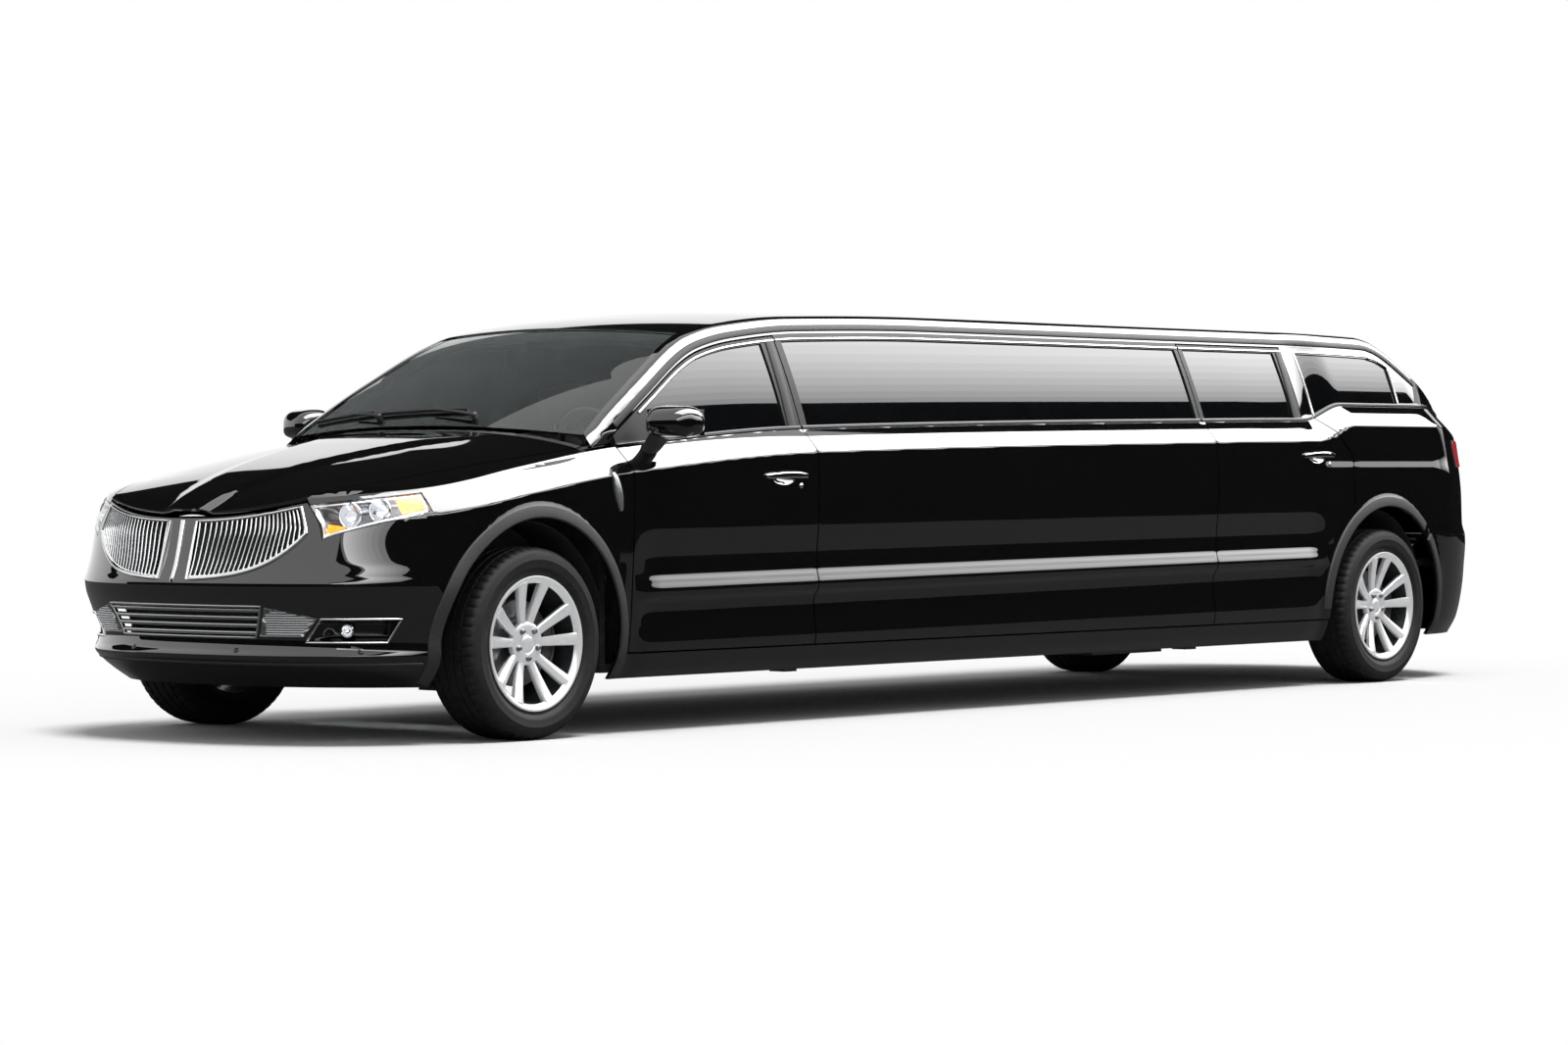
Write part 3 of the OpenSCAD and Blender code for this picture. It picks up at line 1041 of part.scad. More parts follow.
// Cabin: dashboard, wheel, seats, partition, lounge and bar
dash_z = [mix(door_z, belt_front_z, 0.55), belt_front_z - over * 0.6];
dash_d = cowl_set * 1.2;
module dashboard() {
  color("#1d1e21") translate([fw_x - fit - dash_d, -post_y[0] + shut, dash_z[0]])
    cube([dash_d, (post_y[0] - shut) * 2, dash_z[1] - dash_z[0]]);
}
wheel_y = body_w * 0.19;
module steering_wheel() {
  color("#141518") translate([fw_x - fit * 2 - dash_d, wheel_y, dash_z[1] - over]) rotate([0, -68, 0]) {
    translate([0, 0, over * 3]) rotate_extrude($fn = 48)
      translate([tyre_r * 0.5, 0]) circle(r = over * 0.4, $fn = 16);
    translate([-tyre_r * 0.5, -over * 0.4, over * 2.7]) cube([tyre_r, over * 0.8, over * 0.5]);
    translate([0, 0, over * 0.25]) cylinder(r = over * 0.6, h = over * 2.75);
  }
}
seat_w = body_w * 0.27;
seat_d = door1_l * 0.45;
seat_z = mix(floor_z, belt_front_z, 0.36);
back_z = mix(floor_z, roof_z, 0.66);
module seat(x, w, d, back) {
  translate([x, -w / 2, floor_z + fit]) cube([d, w, seat_z - floor_z]);
  translate([x - over * 3.5, -w / 2, floor_z + fit]) cube([over * 3.5, w, back - floor_z]);
}
seat_x = mix(door1_f, door1_r, 0.84);
module front_seats() {
  color("#2a2622") both() translate([0, wheel_y, 0]) seat(seat_x, seat_w, seat_d, back_z);
}
part_x = door1_r - over * 3;
module partition() {
  color("#1d1e21") translate([part_x - over, -post_y[0] + shut, floor_z + fit])
    cube([over, (post_y[0] - shut) * 2, belt_mid_z - floor_z]);
}
lounge_w = body_w * 0.26;
module lounge_seat() {
  x0 = kick_x + floor_t + fit + over * 3.6;
  color("#2a2622") union() {
    translate([x0, 0, 0]) seat(0, (post_y[0] - shut) * 2, seat_d, back_z);
    translate([x0 + seat_d - over, -post_y[0] + shut, floor_z + fit])
      cube([wheelbase * 0.42, lounge_w, seat_z - floor_z]);
    translate([x0 + seat_d - over, -post_y[0] + shut, floor_z + fit])
      cube([wheelbase * 0.42, over * 2, back_z - floor_z]);
  }
}
module bar_cabinet() {
  color("#3a2a1c") translate([mix(door2_f, door1_r, 0.25), post_y[0] - shut - lounge_w * 0.7, floor_z + fit])
    cube([wheelbase * 0.28, lounge_w * 0.7, belt_mid_z * 0.86 - floor_z]);
}

floor_pan();
firewall();
aprons();
hinge_posts();
front_subframe();
struts();
rear_subframe();
engine();
exhaust();
front_bumper();
rear_bumper();
grille();
lower_grille();
fog_lamps();
headlamps();
fenders();
sills();
side_panels();
quarters();
roof();
windscreen();
side_glass();
cowl();
tail_lamps();
dashboard();
steering_wheel();
front_seats();
partition();
lounge_seat();
bar_cabinet();
hood();
tailgate();
rear_glass();
light_bar();
door_fl();
door_fr();
door_rl();
door_rr();
mirror_fl();
mirror_fr();
glass_fl();
glass_fr();
glass_rl();
glass_rr();
knuckle_l();
knuckle_r();
tyre_fl();
tyre_fr();
tyre_rl();
tyre_rr();
rim_fl();
rim_fr();
rim_rl();
rim_rr();
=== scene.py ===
"""Looks of the stretch limousine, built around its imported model. All lengths are metres."""
import math

import bmesh
import bpy
import numpy as np
from mathutils import Matrix, Vector
from mathutils.geometry import delaunay_2d_cdt


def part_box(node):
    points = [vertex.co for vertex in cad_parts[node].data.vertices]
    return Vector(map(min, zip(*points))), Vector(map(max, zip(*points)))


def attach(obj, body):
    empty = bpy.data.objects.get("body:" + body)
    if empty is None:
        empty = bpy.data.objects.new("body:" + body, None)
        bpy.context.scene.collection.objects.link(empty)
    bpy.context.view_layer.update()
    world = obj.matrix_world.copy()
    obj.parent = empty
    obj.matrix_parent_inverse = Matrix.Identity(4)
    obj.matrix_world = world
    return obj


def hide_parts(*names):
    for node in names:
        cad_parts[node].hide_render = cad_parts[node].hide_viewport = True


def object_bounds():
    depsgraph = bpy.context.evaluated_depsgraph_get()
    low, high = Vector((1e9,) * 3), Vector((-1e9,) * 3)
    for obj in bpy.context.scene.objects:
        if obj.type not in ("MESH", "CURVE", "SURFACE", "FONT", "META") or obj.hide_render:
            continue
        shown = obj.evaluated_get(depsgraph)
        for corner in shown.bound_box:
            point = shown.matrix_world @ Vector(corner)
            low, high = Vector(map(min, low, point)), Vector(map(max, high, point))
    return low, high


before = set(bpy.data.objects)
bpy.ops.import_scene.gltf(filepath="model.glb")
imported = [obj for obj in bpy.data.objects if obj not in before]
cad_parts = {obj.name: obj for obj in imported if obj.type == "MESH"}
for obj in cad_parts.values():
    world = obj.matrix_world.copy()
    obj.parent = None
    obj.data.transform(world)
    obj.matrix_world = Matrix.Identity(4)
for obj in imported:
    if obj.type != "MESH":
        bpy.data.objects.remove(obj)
cad_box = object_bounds()

# Main sizes: the part's own, but for the shoulder, whose lower edge is crisper here
WHEELBASE, FRONT_OVERHANG, REAR_OVERHANG = 6.043, 1.010, 1.268
BODY_W, ROOF_Z = 1.920, 1.712
SILL_Z, DOOR_Z, WAIST_Z = 0.215, 0.318, 1.090
BELT_FRONT_Z, BELT_MID_Z, BELT_REAR_Z, BELT_KICK_Z = 1.120, 1.200, 1.262, 1.336
FENDER_Z, LAMP_Z, HOOD_EDGE_Z, COWL_Z, LIP_Z = 1.045, 0.968, 0.868, 1.188, 1.278
SIDE_DEPTH, RIDGE_RISE, SHOULDER_IN, SHOULDER_H, SHOULDER_EDGE = 0.080, 0.060, 0.088, 0.100, 0.8
GLASS_LEAN, GLASS_CURL = 0.32, 0.040
CORNER_D, FRONT_DEPTH, REAR_DEPTH = 0.750, 0.190, 0.140
CORNER_N, CORNER_M, HOOD_N = 2.2, 2.4, 2.6
DOOR1_SET, DOOR1_L, DOOR2_SET, DOOR2_L = 0.548, 1.142, 0.292, 1.155
DOOR_T, FRAME_T, SKIN_T, SHUT = 0.115, 0.042, 0.022, 0.007
ARCH_R, COWL_SET, HEADER_SET, ROOF_END_SET, RAIL_H = 0.478, 0.300, 1.120, 0.170, 0.072
TYRE_R, TYRE_W, TRACK, LUGS, LUG_PCR = 0.369, 0.255, 1.652, 5, 0.057
FRONT_SKIN, REAR_SKIN, GATE_SKIN = 0.012, 0.016, 0.024
# A hair's breadth between neighbours, so that no two faces lie in one place
HAIR = 0.0006


# Mixes and smooth curves through tables
def unit(v):
    return np.clip(v, 0, 1)


def mix(a, b, s):
    return a + (b - a) * s


def stack(*columns):
    """Points from columns of numbers; a single number fills its column."""
    return np.stack(np.broadcast_arrays(*columns), -1)


def turns(n):
    """Even angles round a circle."""
    return np.arange(n) * 2 * math.pi / n


def smooth(a, b, v):
    s = unit((v - a) / (b - a))
    return s * s * (3 - 2 * s)


def curve(table, v):
    """A smooth curve through a table of place and value that never overshoots."""
    x, y = np.array(table, float).T
    h = np.diff(x)
    d = np.diff(y) / h
    both = d[:-1] * d[1:]
    inner = np.where(both > 0, 2 * both / np.where(both > 0, d[:-1] + d[1:], 1), 0)
    m = np.concatenate([d[:1], inner, d[-1:]])
    i = np.clip(np.searchsorted(x, v, side="right") - 1, 0, len(x) - 2)
    s = unit((v - x[i]) / h[i])
    a = 1 - s
    return ((1 + 2 * s) * a * a * y[i] + s * a * a * h[i] * m[i]
            + s * s * (3 - 2 * s) * y[i + 1] - s * s * a * h[i] * m[i + 1])


# Places along the car
nose_x = (WHEELBASE + FRONT_OVERHANG + REAR_OVERHANG) / 2
tail_x = -nose_x
fax, rax = nose_x - FRONT_OVERHANG, nose_x - FRONT_OVERHANG - WHEELBASE
half_w, inner_y = BODY_W / 2, BODY_W / 2 - DOOR_T
door1_f = fax - DOOR1_SET
door1_r = door1_f - DOOR1_L
door2_r = rax + DOOR2_SET
door2_f = door2_r + DOOR2_L
door2_w = door2_r + DOOR2_L * 0.26
cowl_x, header_x, header_z = fax - COWL_SET, fax - HEADER_SET, ROOF_Z * 0.943
roof_end_x, roof_end_z = rax - ROOF_END_SET, ROOF_Z * 0.995
lip_x = tail_x + REAR_DEPTH
kick_f, kick_r = door2_r + DOOR2_L * 0.24, door2_r - DOOR2_SET * 0.16
seam_x, seam2_x = fax + ARCH_R + SKIN_T + SHUT, rax - ARCH_R - SKIN_T - SHUT
bow, bow_y, roof_drop, glass_h = BODY_W * 0.036, BODY_W * 0.365, ROOF_Z * 0.018, ROOF_Z * 0.251
flare_w, flare_out = ARCH_R * 0.17, SIDE_DEPTH * 0.16
bumper2_z = mix(SILL_Z, LIP_Z, 0.46)
pillar_w = FRAME_T * 1.2

# Sections of the side, the front and the tail: columns are height share and depth share
PLAIN_SHARES = [
    (0, 0.94), (0.097, 0.5), (0.234, 0.31), (0.383, 0.2), (0.55, 0.11), (0.72, 0.04), (0.82, 0.02),
    (0.91, 0.05), (1, 0.15), (1.4, 0.3)]
RIDGE_SHARES = [
    (0, 0.94), (0.04, 0.6), (0.097, 0.375), (0.157, 0.25), (0.234, 0.37), (0.291, 0.42), (0.331, 0.35),
    (0.36, 0.1), (0.383, 0.03), (0.429, 0.12), (0.469, 0.205), (0.531, 0.195), (0.669, 0.08), (0.817, 0.02),
    (0.909, 0.035), (1, 0.08), (1.4, 0.3)]
RIDGE_SHARE = 0.383
FRONT_SHARES = [(0, 1), (0.07, 0.63), (0.13, 0.37), (0.185, 0.2), (0.22, 0.28), (0.28, 0.32), (0.4, 0.21),
                (0.467, 0.115), (0.53, 0.03), (0.59, 0), (0.65, 0.07), (0.72, 0.16), (1, 0.39)]
REAR_SHARES = [(0, 0.54), (0.08, 0.32), (0.155, 0.18), (0.25, 0.07), (0.325, 0.04), (0.4, 0), (0.456, 0.04),
               (0.494, 0.21), (0.513, 0.27), (0.645, 0.375), (0.83, 0.59), (0.927, 0.77), (1, 1)]

# Lines along the car: columns are place and height
BELT_LINE = [(tail_x, LIP_Z - SHOULDER_IN * 0.5), (mix(lip_x, rax, 0.22), LIP_Z - SKIN_T * 0.5),
             (mix(lip_x, rax, 0.6), BELT_KICK_Z), (kick_r, BELT_KICK_Z), (kick_f, BELT_REAR_Z),
             (mix(door2_f, kick_f, 0.4), mix(BELT_MID_Z, BELT_REAR_Z, 0.9)), (door1_r, BELT_MID_Z),
             (door1_f, BELT_FRONT_Z), (fax, FENDER_Z), (mix(fax, nose_x, 0.45), LAMP_Z),
             (mix(fax, nose_x, 0.78), mix(HOOD_EDGE_Z, LAMP_Z, 0.6)), (nose_x, HOOD_EDGE_Z)]
HOOD_LINE = [(cowl_x - COWL_SET, COWL_Z + (COWL_Z - FENDER_Z) * 0.7), (cowl_x, COWL_Z),
             (mix(cowl_x, nose_x, 0.31), mix(HOOD_EDGE_Z, COWL_Z, 0.78)),
             (mix(cowl_x, nose_x, 0.63), mix(HOOD_EDGE_Z, COWL_Z, 0.51)),
             (mix(cowl_x, nose_x, 0.85), mix(HOOD_EDGE_Z, COWL_Z, 0.22)),
             (mix(cowl_x, nose_x, 0.95), HOOD_EDGE_Z)]
CABIN_LINE = [
    (lip_x, LIP_Z), (mix(lip_x, roof_end_x, 0.5), mix(LIP_Z, roof_end_z, 0.56)), (roof_end_x, roof_end_z),
    (mix(roof_end_x, header_x, 0.12), ROOF_Z), (mix(roof_end_x, header_x, 0.7), ROOF_Z),
    (mix(roof_end_x, header_x, 0.87), mix(header_z, ROOF_Z, 0.83)),
    (mix(roof_end_x, header_x, 0.95), mix(header_z, ROOF_Z, 0.48)), (header_x, header_z),
    (mix(header_x, cowl_x, 0.5), mix(header_z, COWL_Z, 0.44)), (cowl_x, COWL_Z),
    (cowl_x + COWL_SET, COWL_Z - (header_z - COWL_Z) * 0.5)]
HOOD_SIDE_SHARES = [(0, 0.84), (0.35, 0.78), (0.7, 0.66), (0.9, 0.52), (1, 0.45)]


# The body's side: half width at a place along the car and a height
def belt(x):
    return curve(BELT_LINE, x)


def ridge_on(x):
    return smooth(rax + ARCH_R * 1.02, rax + ARCH_R * 1.4,
                  x) * (1 - smooth(door1_f - ARCH_R * 0.3, door1_f, x))


def inset(x, z):
    q = (z - SILL_Z) / (WAIST_Z - SILL_Z)
    shift = RIDGE_RISE * unit((door1_f - x) / (door1_f - door2_r)) * unit(
        np.minimum(q / RIDGE_SHARE, (1 - q) / (1 - RIDGE_SHARE)))
    p = q - shift / (WAIST_Z - SILL_Z)
    roll = unit(1 - (belt(x) - z) / SHOULDER_H)
    return SIDE_DEPTH * mix(curve(PLAIN_SHARES, q), curve(RIDGE_SHARES, p),
                            ridge_on(x)) + SHOULDER_IN * mix(roll**2, 1.08 * roll**2 / (roll + 0.08),
                                                             SHOULDER_EDGE)


def flare(x, z):
    out = 0
    for axle in (fax, rax):
        out = out + 1 - smooth(ARCH_R, ARCH_R + flare_w, np.hypot(x - axle, z - TYRE_R))
    return flare_out * out


def front_in(z):
    return FRONT_DEPTH * curve(FRONT_SHARES, (z - SILL_Z) / (HOOD_EDGE_Z - SILL_Z))


def rear_in(z):
    return REAR_DEPTH * curve(REAR_SHARES, (z - SILL_Z) / (LIP_Z - SILL_Z))


def low_y(x, z):
    f = (x - (nose_x - front_in(z) - CORNER_D)) / CORNER_D
    r = (tail_x + rear_in(z) + CORNER_D - x) / CORNER_D
    plan = (1 - np.clip(np.maximum(f, r), 0, 0.999) ** CORNER_N) ** (1 / CORNER_M)
    return plan * (half_w - inset(x, z)) + flare(x, z)


def side_y(x, z):
    b = belt(x)
    up = np.maximum(z - b, 0)
    return low_y(x, np.minimum(z, b)) - GLASS_LEAN * up - GLASS_CURL * (up / glass_h) ** 2


def side(x, z):
    return stack(x, side_y(x, z), z)


# The rounded ends: angle 0 is the middle of the car, and c runs from there to the seams at the arches
def end_pt(a, z, front, t=0.0):
    s, c = np.abs(np.sin(a)), np.maximum(np.cos(a), 0)
    back = CORNER_D * (1 - c ** (2 / CORNER_N))
    x = nose_x - t - front_in(z) - back if front else tail_x + t + rear_in(z) + back
    y = (half_w - t - inset(x, z)) * s ** (2 / CORNER_M) + flare(x, z) * (s > 0.01)
    return stack(x, y * np.sign(a), z)


def nose_end(z):
    return np.arccos(unit(1 - (nose_x - front_in(z) - seam_x) / CORNER_D) ** (CORNER_N / 2))


def nose(c, z, t=0.0):
    c, z = np.broadcast_arrays(np.asarray(c, float), np.asarray(z, float))
    return end_pt(c * nose_end(z), z, True, t)


def tail_end(z):
    return np.arccos(unit(1 - (seam2_x - tail_x - rear_in(z)) / CORNER_D) ** (CORNER_N / 2))


def tail_at(y, z):
    return np.arcsin(unit(np.abs(y) / (half_w - inset(lip_x, z))) ** (CORNER_M / 2)) * np.sign(y)


def tail(c, z, t=0.0):
    """c runs from the tailgate's side, 0, to the seam at the arch, 1."""
    a = mix(tail_at(gate_y + SHUT, z), tail_end(z), c)
    return end_pt(a, z, False, t)


# Hood, screens and roof: height at a place seen from above
def hood_z(x, y):
    b, e = belt(x), low_y(np.minimum(x, seam_x), belt(np.minimum(x, seam_x)))
    return b + (curve(HOOD_LINE, x) - b) * (1 - unit(np.abs(y) / e) ** HOOD_N)


def bow_at(y):
    return bow * (np.abs(y) / bow_y) ** 2


def cabin_x(c, y):
    return np.where(np.asarray(c) > 0, c - bow_at(y), c + bow_at(y))


def cabin_z(x, y):
    return curve(CABIN_LINE, np.where(x > 0, x + bow_at(y),
                                      x - bow_at(y))) - roof_drop * (np.abs(y) / bow_y) ** 2


gate_y, gate_top_y = BODY_W * 0.365, BODY_W * 0.3


def gate_upper(s, v):
    y = v * mix(gate_top_y, gate_y, unit(s) ** 0.8)
    x0 = cabin_x(roof_end_x - SHUT * 1.6, y)
    x1 = end_pt(tail_at(y, LIP_Z), LIP_Z + 0 * y, False)[..., 0]
    z = curve(CABIN_LINE, mix(roof_end_x, lip_x, s)) - roof_drop * (np.abs(y) / bow_y) ** 2 * (1 - s * 0.7)
    return stack(mix(x0, x1, s), y, z)


gate_x0, gate_x1 = (float(gate_upper(s, 1.0)[0]) for s in (0.0, 1.0))


def gate_edge(x):
    """The tailgate's side edge at a place along the car."""
    return gate_upper(unit((x - gate_x0) / (gate_x1 - gate_x0)), np.ones_like(x))


def rail(x):
    """Half width and height of the roof's edge."""
    x, y = np.asarray(x, float), bow_y
    for _ in range(6):
        z = cabin_z(x, y)
        z = np.where(x < gate_x0, np.minimum(z, gate_edge(x)[..., 2] - roof_drop * 0.6), z)
        y = side_y(x, z)
    return y, z


def hood_half(x):
    return half_w * curve(HOOD_SIDE_SHARES, (x - cowl_x + bow) / (nose_x - cowl_x + bow))


def top_z(x):
    """Top of the side windows' frames."""
    lift = mix(0.2, 1, smooth(mix(roof_end_x, lip_x, 0.7), mix(roof_end_x, lip_x, 0.3), x))
    return np.maximum(rail(x)[1] - RAIL_H * lift, belt(x) + SHUT)


def hood_front_x(y):
    edge = (1 - unit(np.abs(y) / (half_w * 0.94)) ** CORNER_M) ** (1 / CORNER_N)
    return nose_x - front_in(HOOD_EDGE_Z) - CORNER_D * (1 - edge)


# Mesh builders
def inside(points, rings):
    """Which points lie inside an outline and outside its holes."""
    x, y = points.T
    odd = np.zeros(len(points), bool)
    for ring in rings:
        for (ax, ay), (bx, by) in zip(ring, np.roll(ring, -1, 0)):
            if ay != by:
                odd ^= ((ay > y) != (by > y)) & (x < (bx - ax) * (y - ay) / (by - ay) + ax)
    return odd


def clear_of(points, rings, gap):
    """Which points keep their distance from every edge."""
    far = np.ones(len(points), bool)
    for ring in rings:
        for a, b in zip(ring, np.roll(ring, -1, 0)):
            d = b - a
            s = unit((points - a) @ d / max(d @ d, 1e-12))
            far &= ((points - a - s[:, None] * d) ** 2).sum(1) > gap * gap
    return far


def triangulate(loops, step):
    """Even triangles in a flat outline with holes, about as large as step in its two directions."""
    step = np.array(step, float)
    rings = [np.asarray(loop, float) / step for loop in loops]
    edge = np.concatenate(rings)
    lo, hi = edge.min(0), edge.max(0)
    u, v = np.meshgrid(np.arange(lo[0] + 0.5, hi[0]), np.arange(lo[1] + 0.5, hi[1]))
    grid = stack(u, v).reshape(-1, 2)
    grid = grid[inside(grid, rings)]
    grid = grid[clear_of(grid, rings, 0.45)]
    links, start = [], 0
    for ring in rings:
        links += [(start + i, start + (i + 1) % len(ring)) for i in range(len(ring))]
        start += len(ring)
    points = [Vector(p) for p in np.concatenate([edge, grid])]
    verts, _, faces = delaunay_2d_cdt(points, links, [], 0, 1e-5)[:3]
    verts, faces = np.array([v[:] for v in verts]), np.array(faces)
    faces = faces[inside(verts[faces].mean(1), rings)]
    a, b, c = (verts[faces[:, i]] for i in range(3))
    turned = (b - a)[:, 0] * (c - a)[:, 1] - (b - a)[:, 1] * (c - a)[:, 0] < 0
    faces[turned] = faces[turned][:, ::-1]
    return verts * step, faces


def normals_of(surface, uv, size=1e-3):
    """Unit normals of a surface from its slopes."""
    u, v = uv.T
    du = surface(u + size, v) - surface(u - size, v)
    dv = surface(u, v + size) - surface(u, v - size)
    n = np.cross(du, dv)
    return n / np.maximum(np.linalg.norm(n, axis=1, keepdims=True), 1e-12)


def place_object(name, data, place=(0, 0, 0), turn=(0, 0, 0)):
    obj = bpy.data.objects.new(name, data)
    obj.location, obj.rotation_euler = place, turn
    bpy.context.scene.collection.objects.link(obj)
    return obj


def add_mesh(name, points, faces, finish, body, normals=None, mirrored=False):
    """A new piece from points and faces, which rides on a body."""
    points = np.clip(np.asarray(points, float), *cad_box)
    if mirrored:
        points = points * (1, -1, 1)
        faces = [tuple(reversed(f)) for f in faces]
    mesh = bpy.data.meshes.new(name)
    mesh.from_pydata(points.tolist(), [], [tuple(int(i) for i in f) for f in faces])
    mesh.polygons.foreach_set("use_smooth", [True] * len(mesh.polygons))
    if normals is not None:
        corners = [n[::-1] * (1, -1, 1) if mirrored else n for n in normals]
        mesh.normals_split_custom_set(np.concatenate(corners).tolist())
    mesh.materials.append(finish)
    obj = place_object(name, mesh)
    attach(obj, body)
    return obj


def node_box(name):
    """Lowest and highest corner of one of the model's nodes."""
    return np.array(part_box(name))


def flat(points, face):
    """A face's own normal, once for each of its corners."""
    p = points[list(face)]
    n = np.cross(p[1] - p[0], p[2] - p[0]) + np.cross(p[2] - p[0], p[-1] - p[0])
    n = n / max(np.linalg.norm(n), 1e-12)
    return np.repeat(n[None], len(face), 0)


def shell(loops, step, surface, depth, turn=False):
    """Points, faces and corner normals of a closed sheet; depth is a number or gives the inner side."""
    uv, tri = triangulate(loops, step)
    outer = surface(*uv.T)
    normal = normals_of(surface, uv)
    if turn:
        tri, normal = tri[:, ::-1], -normal
    inner = depth(outer) if callable(depth) else outer - normal * depth
    points = np.concatenate([outer, inner])
    n = len(outer)
    directed = {(a, b) for t in tri for a, b in zip(t, np.roll(t, -1))}
    rim = sorted((b, a, a + n, b + n) for a, b in directed if (b, a) not in directed)
    faces = [tuple(t) for t in tri] + [tuple(t[::-1] + n) for t in tri] + rim
    corner = [normal[t] for t in tri] + [-normal[t[::-1]] for t in tri] + [flat(points, f) for f in rim]
    return points, faces, corner


def each_side(name, body, sides, replaces, make):
    """One piece, or one on each side of the car; body and replaces may hold {} for the side's letter."""
    made = []
    for letter, mirrored in (("l", False), ("r", True))[:sides]:
        obj = make(name if sides == 1 else f"{name}_{letter}", body.format(letter), mirrored)
        if replaces:
            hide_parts(*(r.format(letter) for r in replaces))
        made.append(obj)
    return made


def panel(name, loops, step, surface, depth, finish, body="body", replaces=(), sides=1, turn=False):
    """A closed sheet over an outline and its holes."""
    points, faces, corner = shell(loops, step, surface, depth, turn)

    def make(title, rider, mirrored):
        return add_mesh(title, points, faces, finish, rider, corner, mirrored)
    each_side(name, body, sides, replaces, make)


def quads(n, m, closed=False):
    """Faces between n rings of m points each."""
    return [(i * m + j, i * m + (j + 1) % m, (i + 1) % n * m + (j + 1) % m, (i + 1) % n * m + j)
            for i in range(n if closed else n - 1) for j in range(m)]


def sweep(path, section, out, closed=False, taper=None):
    """Points and faces of a section carried along a path; out gives the section's upright at each point."""
    path, section, out = np.asarray(path, float), np.asarray(section, float), np.asarray(out, float)
    ahead = np.roll(path, -1, 0) - np.roll(path, 1, 0)
    if not closed:
        ahead[0], ahead[-1] = path[1] - path[0], path[-1] - path[-2]
    ahead = ahead / np.linalg.norm(ahead, axis=1, keepdims=True)
    out = np.broadcast_to(out, path.shape)
    across = np.cross(ahead, out)
    across = across / np.linalg.norm(across, axis=1, keepdims=True)
    upright = np.cross(across, ahead)
    size = np.ones(len(path)) if taper is None else np.asarray(taper, float)
    points = (path[:, None] + across[:, None] * section[None, :, :1] * size[:, None, None]
              + upright[:, None] * section[None, :, 1:] * size[:, None, None])
    n, m = len(path), len(section)
    faces = quads(n, m, closed)
    if not closed:
        faces += [tuple(reversed(range(m))), tuple(range((n - 1) * m, n * m))]
    return points.reshape(-1, 3), faces


def joined(parts):
    """Several lists of points and faces as one."""
    points, faces, start = [], [], 0
    for p, f in parts:
        points.append(np.asarray(p, float))
        faces += [tuple(i + start for i in face) for face in f]
        start += len(p)
    return np.concatenate(points), faces


def rounded(w, h, n=3, share=0.45):
    """A flat section with rounded corners, standing on its middle line."""
    r = min(w, h) * share
    x, y = w / 2 - r, h / 2 - r
    points = []
    for k, (cx, cy) in enumerate([(x, y), (-x, y), (-x, -y), (x, -y)]):
        for i in range(n + 1):
            a = math.pi / 2 * (k + i / n)
            points.append((cx + r * math.cos(a), cy + r * math.sin(a)))
    return np.array(points)


def beam(a, b, w, h, n=3, share=0.45, out=(0, 0, 1)):
    """Points and faces of a straight bar with rounded edges between two points."""
    return sweep([a, b], rounded(w, h, n, share), out)


def mirror_y(part):
    points, faces = part
    return np.asarray(points) * (1, -1, 1), [tuple(reversed(f)) for f in faces]


def lathe(profile, n=96):
    """A ring about the Y axis from a closed profile of radius and place along Y."""
    r, y = np.asarray(profile, float).T
    a = turns(n)
    points = stack(np.outer(np.sin(a), r), y, np.outer(np.cos(a), r))
    return points.reshape(-1, 3), quads(n, len(r), True)


def sharpen(obj, angle=35):
    """Keeps edges sharper than an angle crisp and the rest smooth."""
    mesh = obj.data
    bm = bmesh.new()
    bm.from_mesh(mesh)
    bmesh.ops.remove_doubles(bm, verts=bm.verts, dist=1e-6)
    bmesh.ops.recalc_face_normals(bm, faces=bm.faces)
    for edge in bm.edges:
        edge.smooth = len(edge.link_faces) == 2 and edge.calc_face_angle(0) < math.radians(angle)
    bm.to_mesh(mesh)
    bm.free()
    return obj


def bead(surface, uv, section, lift=0.0, turn=False, closed=False, taper=None):
    """Points and faces of a strip along a line on a surface."""
    uv = np.asarray(uv, float)
    normal = normals_of(surface, uv) * (-1 if turn else 1)
    return sweep(surface(*uv.T) + normal * lift, section, normal, closed, taper)


def spun(profile, centre, axis, n=32):
    """A turned part about an axis through a centre; the profile's second column runs along the axis."""
    points, faces = lathe(profile, n)
    turn = np.array(Vector((0, 1, 0)).rotation_difference(Vector(axis)).to_matrix())
    return points @ turn.T + np.asarray(centre), faces


def piece(name, part, finish, body="body", sides=1, replaces=(), angle=35):
    """Points and faces with crisp edges as one piece, or as one on each side of the car."""
    def make(title, rider, mirrored):
        return sharpen(add_mesh(title, *part, finish, rider, mirrored=mirrored), angle)
    return each_side(name, body, sides, replaces, make)


def pair(name, part, finish, body="body", replaces=(), angle=35):
    """A piece on each side of the car."""
    piece(name, part, finish, body, 2, replaces, angle)


def dome(r, height, foot, base, n):
    """Profile of a domed disc whose edge stands at foot and whose flat back lies at base."""
    arc = [(r * math.cos(a), height * math.sin(a) + foot) for a in np.linspace(0, math.pi / 2, n)]
    return arc + [(0.0, base), (r, base)]


def stud(r, base, edge, top_r, top, peak):
    """Profile of a round stud with a chamfered head."""
    return [(0.0, base), (r, base), (r, edge), (top_r, top), (0.0, peak)]


# Materials
def set_inputs(node, **values):
    """Sets a node's inputs by name; an underscore stands for a space."""
    for key, value in values.items():
        node.inputs[key.replace("_", " ")].default_value = value
    return node


